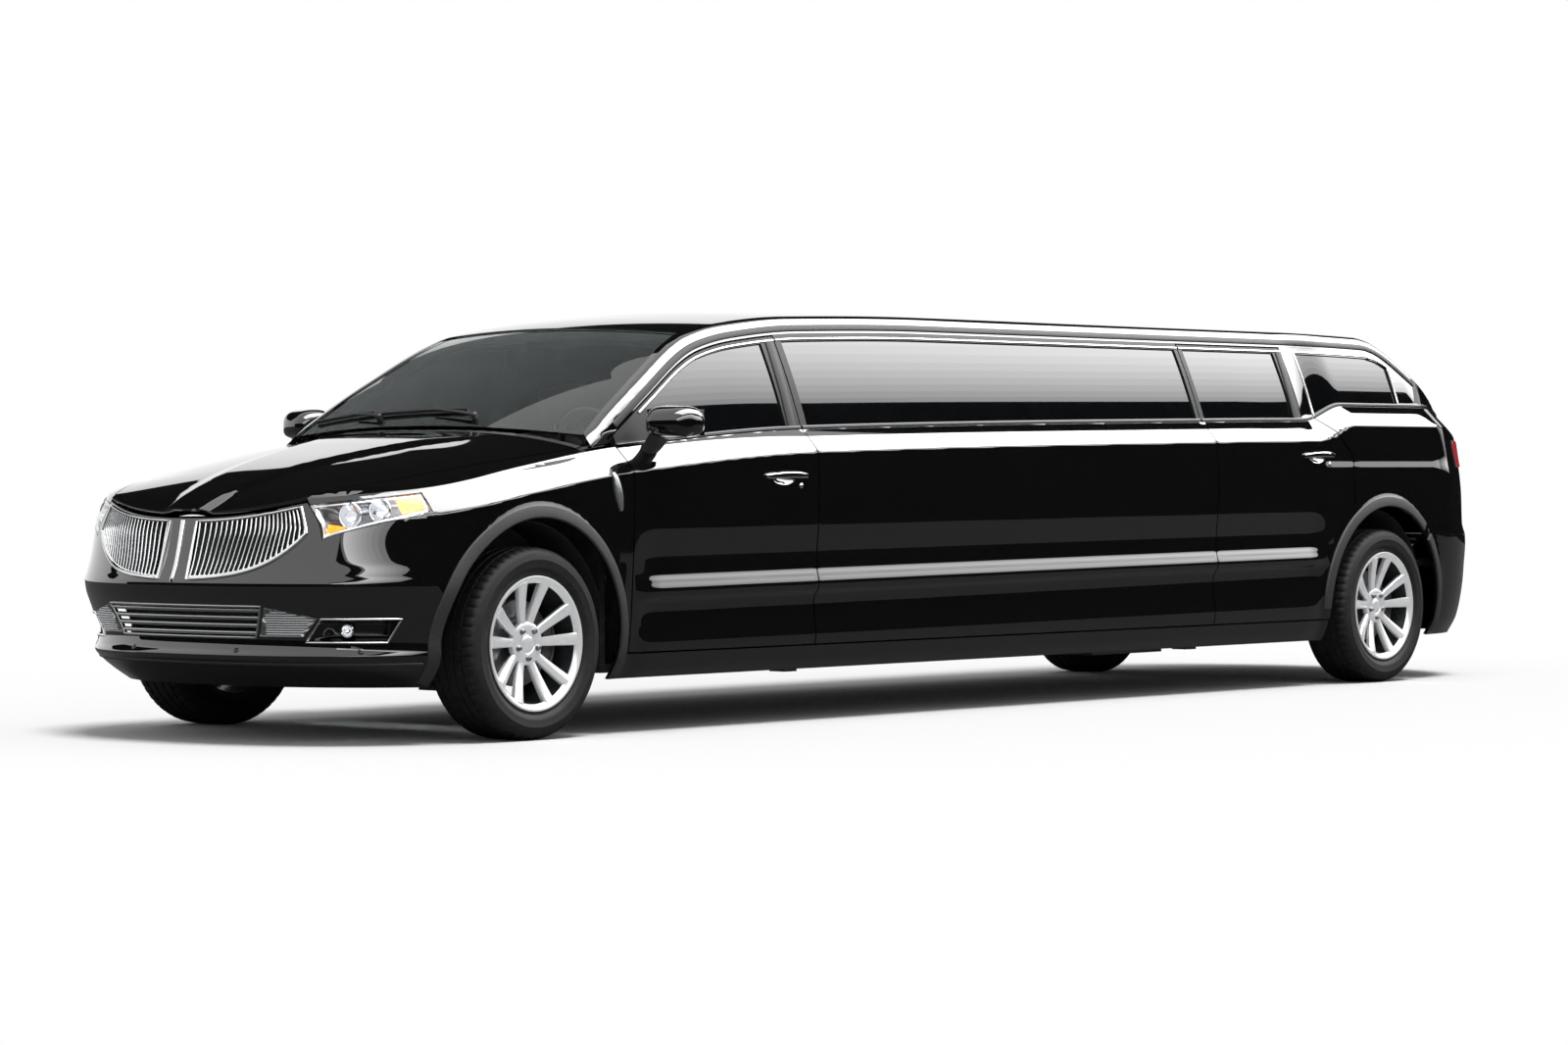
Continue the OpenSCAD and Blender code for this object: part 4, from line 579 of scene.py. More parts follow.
def look(name, colour, rough, slot, metal=0.0, vary=0.15, scale=30.0, bump=0.0, bump_scale=None,
         stretch=(1, 1, 1), rough_vary=0.25, **sockets):
    """A finish whose colour, roughness and relief vary over the surface."""
    mat = bpy.data.materials.new(name)
    mat["slot"] = slot
    mat.use_nodes = True
    nodes, links = mat.node_tree.nodes, mat.node_tree.links
    shader = set_inputs(nodes["Principled BSDF"], Metallic=metal, **sockets)
    place = nodes.new("ShaderNodeTexCoord")
    mapping = set_inputs(nodes.new("ShaderNodeMapping"), Scale=stretch)
    links.new(place.outputs["Object"], mapping.inputs["Vector"])
    noise = set_inputs(nodes.new("ShaderNodeTexNoise"), Scale=scale, Detail=4)
    links.new(mapping.outputs["Vector"], noise.inputs["Vector"])
    ramp = nodes.new("ShaderNodeValToRGB")
    for stop, at, share in zip(ramp.color_ramp.elements, (0.3, 0.7), (1 - vary, 1 + vary)):
        stop.position = at
        stop.color = [min(c * share, 1) for c in colour] + [1]
    links.new(noise.outputs["Fac"], ramp.inputs["Fac"])
    links.new(ramp.outputs["Color"], shader.inputs["Base Color"])
    spread = set_inputs(nodes.new("ShaderNodeMapRange"), To_Min=rough * (1 - rough_vary),
                        To_Max=min(rough * (1 + rough_vary), 1))
    links.new(noise.outputs["Fac"], spread.inputs["Value"])
    links.new(spread.outputs["Result"], shader.inputs["Roughness"])
    if bump:
        fine = set_inputs(nodes.new("ShaderNodeTexNoise"), Scale=bump_scale or scale * 4, Detail=3)
        links.new(mapping.outputs["Vector"], fine.inputs["Vector"])
        relief = set_inputs(nodes.new("ShaderNodeBump"), Strength=bump, Distance=0.001)
        links.new(fine.outputs["Fac"], relief.inputs["Height"])
        links.new(relief.outputs["Normal"], shader.inputs["Normal"])
    return mat


PAINT = look("gloss_black", (0.0035, 0.0036, 0.004), 0.035, "paint", vary=0.35, scale=900, rough_vary=0.3,
             Coat_Weight=1.0, Coat_Roughness=0.015, Coat_IOR=1.7)
GLOSS = look("gloss_black_trim", (0.006, 0.006, 0.007), 0.08, "plastic", vary=0.3, scale=500)
FRAME = look("window_frame", (0.012, 0.012, 0.013), 0.36, "plastic", vary=0.25, scale=300,
             Specular_IOR_Level=0.22)
CHROME = look("bright_chrome", (0.86, 0.87, 0.88), 0.06, "chrome", metal=1.0, vary=0.05, scale=60)
# Chrome painted dark: its colour paints the shade that the strips along the belt reflect
SHADED_CHROME = look("dim_chrome", (0.06, 0.06, 0.062), 0.14, "chrome", metal=1.0, vary=0.05, scale=60)
SILVER = look("brushed_silver", (0.55, 0.56, 0.57), 0.3, "bar_silver", metal=1.0, vary=0.12, scale=40,
              stretch=(1, 1, 14))
SATIN = look("satin_black", (0.02, 0.02, 0.021), 0.5, "plastic", vary=0.3, scale=120, bump=0.25,
             bump_scale=900)
DARK = look("dark_structure", (0.022, 0.023, 0.025), 0.6, "structure", vary=0.35, scale=25, bump=0.3,
            bump_scale=240)
RUBBER = look("tyre_rubber", (0.011, 0.011, 0.012), 0.6, "tyre", vary=0.3, scale=45, bump=0.35,
              bump_scale=700, Specular_IOR_Level=0.25)
ALLOY = look("bright_alloy", (0.86, 0.87, 0.88), 0.22, "alloy", metal=0.25, vary=0.05, scale=90,
             Coat_Weight=0.6)
BOWL = look("lamp_bowl", (0.5, 0.51, 0.52), 0.2, "lamp_clear", metal=1.0, vary=0.1, scale=50)
POCKET = look("dark_alloy", (0.05, 0.052, 0.056), 0.4, "alloy", metal=0.7, vary=0.25, scale=60)
STEEL = look("bare_steel", (0.33, 0.33, 0.34), 0.35, "steel", metal=1.0, vary=0.2, scale=70, bump=0.15)
IRON = look("cast_iron", (0.09, 0.088, 0.086), 0.6, "iron", metal=0.8, vary=0.35, scale=50, bump=0.5,
            bump_scale=300)
TINT = look("tinted_glass", (0.004, 0.0045, 0.005), 0.02, "glass_tint", vary=0.2, scale=8, rough_vary=0.2,
            IOR=1.6)
SCREEN = look("screen_glass", (0.55, 0.6, 0.6), 0.01, "glass_screen", vary=0.04, scale=6, rough_vary=0.2,
              Transmission_Weight=1.0, IOR=1.45)
LENS = look("clear_lens", (0.97, 0.98, 1.0), 0.01, "lamp_clear", vary=0.01, scale=20, rough_vary=0.2,
            Transmission_Weight=1.0, IOR=1.3)
AMBER = look("amber_lens", (0.9, 0.36, 0.02), 0.12, "lamp_clear", vary=0.15, scale=160,
             Transmission_Weight=0.35, Emission_Strength=0.7, Emission_Color=(1, 0.45, 0.03, 1))
RED = look("red_lens", (0.5, 0.008, 0.012), 0.06, "lamp_red", vary=0.25, scale=140, Coat_Weight=0.6,
           Emission_Strength=0.25, Emission_Color=(1, 0.03, 0.05, 1))
LEATHER = look("black_leather", (0.03, 0.027, 0.025), 0.42, "leather", vary=0.25, scale=60, bump=0.5,
               bump_scale=420)
WOOD = look("dark_wood", (0.12, 0.055, 0.025), 0.25, "wood", vary=0.5, scale=9, stretch=(1, 6, 14),
            Coat_Weight=0.5)


# Outlines
def run(f, a, b, step=0.02):
    """Points from a to b along a line whose height is a number or a function of the place."""
    x = np.linspace(a, b, max(int(abs(b - a) / step), 1) + 1)
    return stack(x, f(x) if callable(f) else float(f))


def rise(x, z0, z1, step=0.02):
    """Points up or down one place."""
    return run(x, z0, z1, step)[:, ::-1]


def ring(*runs):
    """One closed outline from several runs of points."""
    points = np.concatenate(runs)
    kept = np.linalg.norm(points - np.roll(points, 1, 0), axis=1) > 1e-4
    return points[kept]


def between(lo, hi, x0, x1, step=0.02):
    """Outline between two lines, each a height or a function of the place."""
    def ends(x):
        return [f(x) if callable(f) else f for f in (lo, hi)]
    return ring(run(lo, x0, x1, step), rise(x1, *ends(x1)), run(hi, x1, x0, step),
                rise(x0, *reversed(ends(x0))))


def arch(axle, a0, a1, r=ARCH_R):
    """Points round a wheel arch between two angles in degrees, 90 at the top."""
    a = np.radians(np.linspace(a0, a1, 49))
    return stack(axle + r * np.cos(a), TYRE_R + r * np.sin(a))


def arch_angle(z):
    return math.degrees(math.asin((z - TYRE_R) / ARCH_R))


def door_inner(front):
    """The inner side of a door: a single skin round the hinges, then the whole door's thickness."""
    def inner(outer):
        point = outer.copy()
        deep = smooth(front - DOOR_T, front - DOOR_T * 1.1, outer[:, 0])
        point[:, 1] = np.minimum(mix(outer[:, 1] - SKIN_T, inner_y, deep), outer[:, 1] - SKIN_T * 0.9)
        return point
    return inner


def frame_inner(outer):
    return outer - (0, FRAME_T, 0)


def cabin_inner(outer):
    point = outer.copy()
    point[:, 1] = np.minimum(inner_y, outer[:, 1] - SKIN_T * 0.9)
    return point


gap = SHUT / 2
SIDE_STEP = (0.05, 0.0065)
FRAME_STEP = (0.03, 0.02)
base_w, frame_w = FRAME_T * 0.3, FRAME_T * 0.72


def pane_lo(x):
    return belt(x) + base_w


def pane_hi(x):
    return np.maximum(top_z(x) - frame_w, pane_lo(x) + base_w)


def window(x0, x1, grow=0.0):
    """Outline of a side window from its front to its rear end."""
    return between(lambda x: pane_lo(x) - grow, lambda x: pane_hi(x) + grow, x0 + grow, x1 - grow)


door1_glass = (mix(door1_f, door1_r, 0.2), mix(door1_f, door1_r, 0.92))
door2_glass = (mix(door2_f, door2_r, 0.03), mix(door2_f, door2_w, 0.92))
mid_glass = (door1_r - FRAME_T, door2_f + FRAME_T * 0.7)
quarter_glass = (door2_w - FRAME_T * 2.75, mix(door2_w, lip_x, 0.5))


def frame_ring(x0, x1, cut):
    """Outline of a window frame between the belt and the roof's rail."""
    return between(belt, lambda x: top_z(x) - cut, x0, x1)


def side_skin(name, loops, depth, finish=PAINT, body="body", replaces=(), step=SIDE_STEP):
    """A sheet in the body's side, on the left and on the right."""
    panel(name, loops, step, side, depth, finish, body, replaces, 2, True)


# Doors, side walls and sills
def slant(z, g=0.0):
    """Rear edge of the rear door above the waist."""
    top = mix(BELT_REAR_Z, BELT_KICK_Z, 1.3)
    return mix(door2_r - g, door2_w - g, unit((z - WAIST_Z - g / 2) / (top - WAIST_Z)))


def slant_run(z0, z1, g=0.0):
    z = np.linspace(z0, z1, 12)
    return stack(slant(z, g), z)


def slant_belt(g):
    """Height where the rear door's rear edge meets the belt."""
    z = BELT_REAR_Z
    for _ in range(20):
        z = float(belt(slant(z, g)))
    return z


door1_ends = (door1_f - gap, door1_r + gap)
door2_ends = (door2_f - gap, door2_r)
arch2_z = TYRE_R + math.sqrt(ARCH_R**2 - (door2_r - rax) ** 2)
arch2_x = rax + math.sqrt(ARCH_R**2 - (DOOR_Z - TYRE_R) ** 2)
a_low, a_high = arch_angle(DOOR_Z), arch_angle(arch2_z)
z_slant = slant_belt(0)
door1_ring = between(DOOR_Z, belt, *door1_ends)
door2_ring = ring(run(DOOR_Z, door2_ends[0], arch2_x), arch(rax, a_low, a_high),
                  rise(door2_r, arch2_z, WAIST_Z), slant_run(WAIST_Z, z_slant),
                  run(belt, slant(z_slant), door2_ends[0]),
                  rise(door2_ends[0], belt(door2_ends[0]), DOOR_Z))
panel_ends = (door1_r - gap, door2_f + gap)
panel_ring = between(DOOR_Z, belt, *panel_ends)


def oval(x, z, rx, rz, n=28):
    a = turns(n)
    return stack(x + rx * np.cos(a), z + rz * np.sin(a))


ENDS = {"f": "front", "r": "rear"}
HANDLE_L, CUP_H = 0.26, 0.03
HANDLES = {"f": (1.672, 0.999), "r": (-2.298, 1.087)}
door_cups = {key: oval(x + 0.01, z, HANDLE_L * 0.3, CUP_H) for key, (x, z) in HANDLES.items()}
side_skin("door_front_skin", [door1_ring, door_cups["f"]], door_inner(door1_f), PAINT, "door_f{}",
          ["door_f{}"])
side_skin("door_rear_skin", [door2_ring, door_cups["r"]], door_inner(door2_f), PAINT, "door_r{}",
          ["door_r{}"])
side_skin("door_front_frame", [frame_ring(*door1_ends, SHUT), window(*door1_glass)], frame_inner, FRAME,
          "door_f{}", step=FRAME_STEP)
side_skin("door_rear_frame", [frame_ring(door2_ends[0], door2_w, SHUT), window(*door2_glass)], frame_inner,
          FRAME, "door_r{}", step=FRAME_STEP)


def wall_inner(outer):
    """The lounge's wall, a single skin where the rear door's front edge swings in."""
    point = cabin_inner(outer)
    deep = smooth(panel_ends[1] + DOOR_T * 0.5, panel_ends[1] + DOOR_T * 0.6, outer[:, 0])
    point[:, 1] = mix(outer[:, 1] - SKIN_T * 0.9, point[:, 1], deep)
    return point


side_skin("side_panel_skin", [panel_ring], wall_inner, replaces=["side_panels"])
side_skin("side_panel_frame", [frame_ring(*panel_ends, HAIR), window(*mid_glass)], frame_inner, FRAME,
          step=FRAME_STEP)
sill_ends = (door1_f + gap, rax + ARCH_R + SHUT)
side_skin("sill", [between(SILL_Z, DOOR_Z - SHUT, *sill_ends)], cabin_inner, replaces=["sills"])


# Front end
lamp_c, lamp_lean = 0.53, 0.03
c_table = np.linspace(0, 1.02, 120)


def corner_belt(c):
    return belt(nose(np.abs(c), LAMP_Z + 0 * c)[..., 0])


def lamp_share(c):
    return (np.abs(c) - lamp_c) / (1 - lamp_c)


def lamp_lo(c):
    low, high = mix(SILL_Z, HOOD_EDGE_Z, 0.85), mix(HOOD_EDGE_Z, LAMP_Z, 0.08)
    return mix(low, high, unit(lamp_share(c)) ** 0.8)


def lamp_hi(c):
    return corner_belt(c) - SKIN_T * mix(0.9, 0.6, lamp_share(c))


def brow_z(c):
    y = nose(np.abs(c), HOOD_EDGE_Z + 0 * c)[..., 1]
    return hood_z(hood_front_x(y), y) - SKIN_T * 0.8 - SHUT


def edge_y(x):
    """Half width of the fender's upper edge."""
    ends = nose(c_table, corner_belt(c_table))
    return np.where(x < seam_x, low_y(x, belt(x)), np.interp(x, ends[::-1, 0], ends[::-1, 1]))


def fender_top(x, y):
    """The fender's upper side between its edge and the hood."""
    e = edge_y(x)
    s = unit((e - np.abs(y)) / np.maximum(e - hood_half(x), 0.02))
    low = np.minimum(hood_z(x, e), curve(HOOD_LINE, x)) - belt(np.minimum(x, nose_x))
    return stack(x, y, hood_z(x, y) - np.maximum(low, 0) * (1 - s) ** 2)


strip_c = 0.51
strip_x = float(nose(strip_c, corner_belt(strip_c))[0])
fender_f, fender_r = seam_x, door1_f + gap
a_sill = arch_angle(SILL_Z)
arch_x = ARCH_R * math.cos(math.radians(a_sill))
fender_ring = ring(run(SILL_Z, fender_r, fax - arch_x), arch(fax, 180 - a_sill, a_sill),
                   run(SILL_Z, fax + arch_x, fender_f), rise(fender_f, SILL_Z, belt(fender_f)),
                   run(belt, fender_f, fender_r), rise(fender_r, belt(fender_r), SILL_Z))
strip = np.linspace(1, strip_c, 30)
edge_run = nose(strip, corner_belt(strip))[:, :2]
top_ring = ring(run(edge_y, fender_r, seam_x), edge_run,
                run(lambda x: hood_half(x) + SHUT * 0.8, strip_x, fender_r),
                rise(fender_r, hood_half(fender_r) + SHUT * 0.8, edge_y(fender_r)))
brow_ring = ring(run(corner_belt, 1, strip_c), run(lamp_hi, strip_c, 1))
side_skin("fender", [fender_ring], FRONT_SKIN, replaces=["fenders"])
panel("fender_upper", [top_ring], (0.03, 0.02), fender_top, 0.006, PAINT, sides=2)
panel("lamp_brow", [brow_ring], (0.03, 0.012), nose, FRONT_SKIN, PAINT, sides=2)

GRILLE_C = (0.04, 0.47)


def grille_c(s):
    return mix(*GRILLE_C, s)


def grille_lo(s):
    return mix(SILL_Z, HOOD_EDGE_Z, 0.62 + 0.05 * s + 0.22 * s**3)


def grille_hi(s):
    return brow_z(grille_c(s)) - SKIN_T * 0.5


LOWER_C, LOWER_Z = (0.275, 0.305), (0.29, 0.47)
FOG_C, FOG_Z = (0.475, 0.86), (0.265, 0.4)


def front_z(h):
    return mix(SILL_Z, HOOD_EDGE_Z, h)


def flipped(points):
    return (np.asarray(points) * (-1, 1))[::-1]


def both_halves(points):
    return ring(points, flipped(points))


s_run = np.linspace(0, 1, 25)
grille_ring = ring(stack(grille_c(s_run), grille_lo(s_run)), stack(grille_c(s_run), grille_hi(s_run))[::-1])
lower_z0, lower_z1 = (front_z(h) for h in LOWER_Z)
lower_ring = both_halves(ring(
    run(lower_z0, 0, LOWER_C[0]), np.linspace((LOWER_C[0], lower_z0), (LOWER_C[1], lower_z1), 8),
    run(lower_z1, LOWER_C[1], 0)))
fog_low, fog_top = front_z(FOG_Z[0]), front_z(FOG_Z[1])
fog_ring = ring(run(fog_low, FOG_C[0], FOG_C[1] - 0.05),
                np.linspace((FOG_C[1] - 0.05, fog_low), (FOG_C[1], fog_top), 8),
                run(fog_top, FOG_C[1], FOG_C[0] + 0.06),
                np.linspace((FOG_C[0] + 0.06, fog_top), (FOG_C[0], fog_low), 8))
half_bumper = ring(
    run(SILL_Z, 0, 1), rise(1, SILL_Z, lamp_lo(1.0)), run(lamp_lo, 1, lamp_c),
    np.linspace((lamp_c, lamp_lo(lamp_c)), (lamp_c - lamp_lean, brow_z(lamp_c - lamp_lean)), 8),
    run(brow_z, lamp_c - lamp_lean, 0))
bumper_loops = [both_halves(half_bumper), grille_ring, flipped(grille_ring), lower_ring, fog_ring,
                flipped(fog_ring)]
panel("front_bumper_skin", bumper_loops, (0.02, 0.011), nose, FRONT_SKIN, PAINT, replaces=["front_bumper"])


# Hood with its raised middle
hood_rear = 0.02


def hood(x, y):
    s = unit((x - cowl_x) / (nose_x - cowl_x))
    level_y, foot_y = mix(0.40, 0.05, s**0.7), mix(0.50, 0.13, s**0.7)
    bulge = 0.013 * (1 - smooth(level_y, foot_y, np.abs(y))) * smooth(0.0, 0.2, s)
    return stack(x, y, hood_z(x, y) + bulge * (1 - smooth(0.93, 1.0, s)))


def hood_edge(front):
    """Half width of the hood where its side meets its rear or front edge."""
    y = half_w / 2
    for _ in range(40):
        x = hood_front_x(y) if front else cabin_x(cowl_x, y) + hood_rear
        y = mix(y, float(hood_half(x)), 0.5)
    return y


y_front, y_rear = hood_edge(True), hood_edge(False)
hood_side = run(hood_half, cabin_x(cowl_x, y_rear) + hood_rear, hood_front_x(y_front))
front_y, rear_y = np.linspace(y_front, -y_front, 80), np.linspace(-y_rear, y_rear, 60)
hood_ring = ring(hood_side, stack(hood_front_x(front_y), front_y), (hood_side * (1, -1))[::-1],
                 stack(cabin_x(cowl_x, rear_y) + hood_rear, rear_y))
panel("hood_skin", [hood_ring], (0.025, 0.02), hood, 0.014, PAINT, "hood", ["hood"])


# Roof and pillars: t runs from the middle over the rail and down to the windows' frames
RAIL_R = 0.026
RAIL_L = RAIL_R * 1.62


def roof(x, t):
    y_rail, z_rail = rail(x)
    edge = gate_edge(x)
    y = np.minimum(np.abs(t), y_rail - RAIL_R)

    def top(y):
        s = unit((y - edge[..., 1]) / np.maximum(y_rail - edge[..., 1], 0.01))
        return np.where(x < gate_x0, mix(edge[..., 2], z_rail, s), cabin_z(x, y))
    z = top(y)
    u = unit((np.abs(t) - (y_rail - RAIL_R)) / RAIL_L)
    down = np.maximum(np.abs(t) - (y_rail - RAIL_R) - RAIL_L, 0)
    z_low = z_rail - RAIL_R
    y_low = side_y(x, z_low)
    y = (1 - u) ** 2 * y + 2 * u * (1 - u) * y_rail + u * u * y_low + side_y(x, z_low - down) - y_low
    z = (1 - u) ** 2 * z + 2 * u * (1 - u) * z_rail + u * u * z_low - down
    return stack(x, y * np.sign(t), z)


def foot_t(x, z):
    """Where the roof's side comes down to a height."""
    y_rail, z_rail = rail(x)
    return y_rail - RAIL_R + RAIL_L + np.maximum(z_rail - RAIL_R - z, 0)


roof_x0 = cowl_x - bow * 1.6
screen_x0, screen_x1 = cowl_x - 0.040, header_x + HAIR


def screen_half(c):
    return rail(np.minimum(c - bow, roof_x0))[0] - pillar_w


def pillar_foot(x):
    return hood_z(x, low_y(x, belt(x)) - FRAME_T * 1.1)


head_y = np.linspace(0, float(screen_half(header_x)), 40)
pillar_c = np.linspace(header_x, screen_x0, 40)
pillar_y = screen_half(pillar_c)
tail_s = np.linspace(0.94, 0, 40)
tail_edge = gate_upper(tail_s, np.ones(40))
end_y = np.linspace(gate_top_y + SHUT, 0, 30)
roof_x1 = float(tail_edge[0, 0])
half_roof = ring(
    stack(cabin_x(header_x, head_y), head_y), stack(cabin_x(pillar_c, pillar_y), pillar_y),
    run(lambda x: foot_t(x, pillar_foot(x)), roof_x0, door1_f + gap),
    run(lambda x: foot_t(x, top_z(x) + HAIR), door1_f - gap, roof_x1),
    stack(tail_edge[:, 0], tail_edge[:, 1] + SHUT), stack(cabin_x(roof_end_x, end_y), end_y))
roof_ring = ring(half_roof, (half_roof * (1, -1))[::-1])
panel("roof_skin", [roof_ring], (0.05, 0.016), roof, 0.02, PAINT, replaces=["roof"])


# Rear quarters, tailgate and rear bumper
z_quarter = slant_belt(SHUT)
quarter_r = door2_r - SHUT
arch_z = TYRE_R + math.sqrt(ARCH_R**2 - (quarter_r - rax) ** 2)
b_low, b_high = 180 - arch_angle(bumper2_z), arch_angle(arch_z)
quarter_ring = ring(run(bumper2_z, seam2_x, rax + ARCH_R * math.cos(math.radians(b_low))),
                    arch(rax, b_low, b_high), rise(quarter_r, arch_z, WAIST_Z + gap),
                    slant_run(WAIST_Z + gap, z_quarter, SHUT), run(belt, slant(z_quarter, SHUT), seam2_x),
                    rise(seam2_x, belt(seam2_x), bumper2_z))


def corner_top(c):
    return belt(tail(c, BELT_KICK_Z + 0 * c)[..., 0])


corner_ring = between(bumper2_z, corner_top, 0, 1, 0.03)
pillar_end = float(tail(0, BELT_KICK_Z)[0])
side_skin("quarter_skin", [quarter_ring], REAR_SKIN, replaces=["quarters"])
panel("quarter_corner", [corner_ring], (0.05, 0.011), tail, REAR_SKIN, PAINT, sides=2, turn=True)
side_skin("quarter_pillar", [frame_ring(door2_w - SHUT, pillar_end, HAIR), window(*quarter_glass)],
          frame_inner, step=FRAME_STEP)
GLASS_S, GLASS_V = (0.12, 0.88), 0.86


def gate_lower(s, v, t=0.0):
    z = mix(LIP_Z, bumper2_z + SHUT, s)
    p = end_pt(tail_at(v * gate_y, z), z, False, t)
    return stack(p[..., 0], v * gate_y, z)


def square(u0, u1, v0, v1, n=40):
    return ring(run(v0, u0, u1, abs(u1 - u0) / n), rise(u1, v0, v1, abs(v1 - v0) / n),
                run(v1, u1, u0, abs(u1 - u0) / n), rise(u0, v1, v0, abs(v1 - v0) / n))


panel("tailgate_upper", [square(0, 1, -1, 1), square(*GLASS_S, -GLASS_V, GLASS_V)], (0.03, 0.05),
      gate_upper, GATE_SKIN, PAINT, "tailgate", ["tailgate"], turn=True)
panel("tailgate_lower", [square(0, 1, -1, 1)], (0.02, 0.04), gate_lower, GATE_SKIN, PAINT, "tailgate",
      turn=True)


def rear(c, z, t=0.0):
    return end_pt(c * tail_end(z), z, False, t)


side_low = arch_angle(bumper2_z)
flank_x, flank_z = seam2_x - SHUT * 2, bumper2_z - HAIR
flank_ring = ring(run(SILL_Z, flank_x, rax - arch_x), arch(rax, 180 - a_sill, 180 - side_low),
                  run(flank_z, rax - ARCH_R * math.cos(math.radians(side_low)), flank_x),
                  rise(flank_x, flank_z, SILL_Z))
panel("rear_bumper_skin", [square(-1, 1, SILL_Z, bumper2_z - HAIR)], (0.03, 0.011), rear, REAR_SKIN, PAINT,
      "body", ["rear_bumper"], turn=True)
side_skin("rear_bumper_flank", [flank_ring], REAR_SKIN, step=(0.02, 0.011))


# Windows
glass_in, glass_t = frame_w / 4, FRAME_T * 0.12


def pane(x, z):
    """The side windows' outer surface, set in from the side."""
    return side(x, z) - np.array((0.0, glass_in, 0.0))


def screen(s, v):
    c = mix(screen_x0, screen_x1, s)
    y = v * (screen_half(c) - HAIR)
    x = cabin_x(c, y)
    return stack(x, y, cabin_z(x, y) - SHUT)


def rear_pane(s, v):
    return gate_upper(s, v) - np.array((0.0, 0.0, SHUT))


PANES = {"front_door": (door1_glass, "door_f{}", ["glass_f{}"]),
         "rear_door": (door2_glass, "door_r{}", ["glass_r{}"]),
         "lounge": (mid_glass, "body", ["side_glass"]), "quarter": (quarter_glass, "body", ())}
for key, (ends, body, nodes) in PANES.items():
    step = (0.06, 0.02) if key == "lounge" else FRAME_STEP
    panel(f"glass_{key}", [window(*ends)], step, pane, glass_t, TINT, body, nodes, sides=2, turn=True)
panel("windscreen_pane", [square(0, 1, -1, 1)], (0.05, 0.06), screen, glass_t * 1.3, SCREEN,
      replaces=["windscreen"], turn=True)
panel("rear_pane", [square(*GLASS_S, -GLASS_V, GLASS_V)], (0.05, 0.06), rear_pane, glass_t, TINT,
      "tailgate", ["rear_glass"], turn=True)


# Headlamps: clear lens, bright bowl with two round reflectors, amber ends
def lens_ring(c0, c1, lo, hi, lean=0.0):
    """Outline of part of the lamp; lo and hi are gaps to its lower and upper edge."""
    z0, z1 = lamp_lo(c0) + lo, lamp_hi(c0 - lean) - hi
    return ring(run(lambda c: lamp_lo(c) + lo, c0, c1), rise(c1, lamp_lo(c1) + lo, lamp_hi(c1) - hi),
                run(lambda c: lamp_hi(c) - hi, c1, c0 - lean), np.linspace((c0 - lean, z1), (c0, z0), 8))


def lamp_bowl(c, z):
    """The housing, shallow at its edges and deep in the middle."""
    h = unit((z - lamp_lo(c)) / (lamp_hi(c) - lamp_lo(c)))
    s = lamp_share(c)
    depth = 0.075 * np.sqrt(4 * h * (1 - h) + 0.001) * smooth(-0.05, 0.15, s)
    return nose(c, z, 0.006 + depth * (1 - 0.8 * smooth(0.6, 1, s)))


def reflector(centre, axis, r, depth, rim, n):
    """Bowl and front ring of a round reflector; rim is the ring's two widths and its gap to the bowl."""
    s = np.linspace(0.02, 1, n)
    bowl = stack(r * np.sqrt(s), depth * (s - 1))
    back = (bowl + (0.003, -0.003))[::-1]
    front_ring = rounded(*rim[:2]) + (r + rim[2], 0.0)
    return [spun(np.concatenate([bowl, back]), centre, axis), spun(front_ring, centre, axis)]


panel("headlamp_lens", [lens_ring(lamp_c + 0.004, 0.995, 0.003, 0.003, lamp_lean)], (0.02, 0.012), nose,
      0.003, LENS, "body", ["headlamps"], sides=2)
panel("headlamp_bowl", [lens_ring(lamp_c + 0.006, 0.993, 0.004, 0.004, lamp_lean)], (0.012, 0.008),
      lamp_bowl, 0.003, BOWL, sides=2)
LAMP_AXIS, BULB_R = (1, 0.22, 0.02), 0.023
reflectors, bulbs = [], []
for c, r in ((0.645, 0.044), (0.775, 0.042)):
    centre = nose(c, mix(lamp_lo(c), lamp_hi(c), 0.5), 0.022)
    reflectors += reflector(centre, LAMP_AXIS, r, r * 0.9, (0.007, 0.009, 0.002), 9)
    bulbs.append(spun(dome(BULB_R, BULB_R, -0.012, -0.03, 8), centre, LAMP_AXIS))
pair("headlamp_reflectors", joined(reflectors), CHROME)
pair("headlamp_projectors", joined(bulbs), LENS)
lamp_foot = run(lambda c: lamp_lo(c) + 0.009, lamp_c + 0.012, 0.98)
lamp_head = run(lambda c: lamp_hi(c) - 0.009, lamp_c - 0.01, 0.98)
lamp_edges = [bead(nose, lamp_foot, rounded(0.009, 0.006), -0.007),
              bead(nose, lamp_head, rounded(0.007, 0.006), -0.007)]
pair("headlamp_rim", joined(lamp_edges), CHROME)


def inner_glow(c):
    return lamp_lo(c) + 0.016 + 0.042 * (1 - unit((c - lamp_c) / 0.1))


def amber_face(c, z):
    """An amber lens with fine upright flutes."""
    return nose(c, z, 0.012 + 0.0015 * np.cos(c * 900))


amber_ends = (lamp_c + 0.02, lamp_c + 0.09)
amber_ring = ring(run(lambda c: lamp_lo(c) + 0.014, *amber_ends), run(inner_glow, *reversed(amber_ends)))
panel("headlamp_amber_inner", [amber_ring], (0.0014, 0.02), amber_face, 0.004, AMBER, sides=2)
panel("headlamp_amber_outer", [lens_ring(0.86, 0.975, 0.014, 0.014)], (0.0014, 0.02), amber_face, 0.004,
      AMBER, sides=2)


# Grille: twin wings of upright slats either side of the keel
SLATS, SLAT_W, SLAT_D = 23, 0.0062, 0.022


def wing(s, h):
    """Place on the nose of a point of a wing."""
    return stack(grille_c(s), mix(grille_lo(s), grille_hi(s), h))


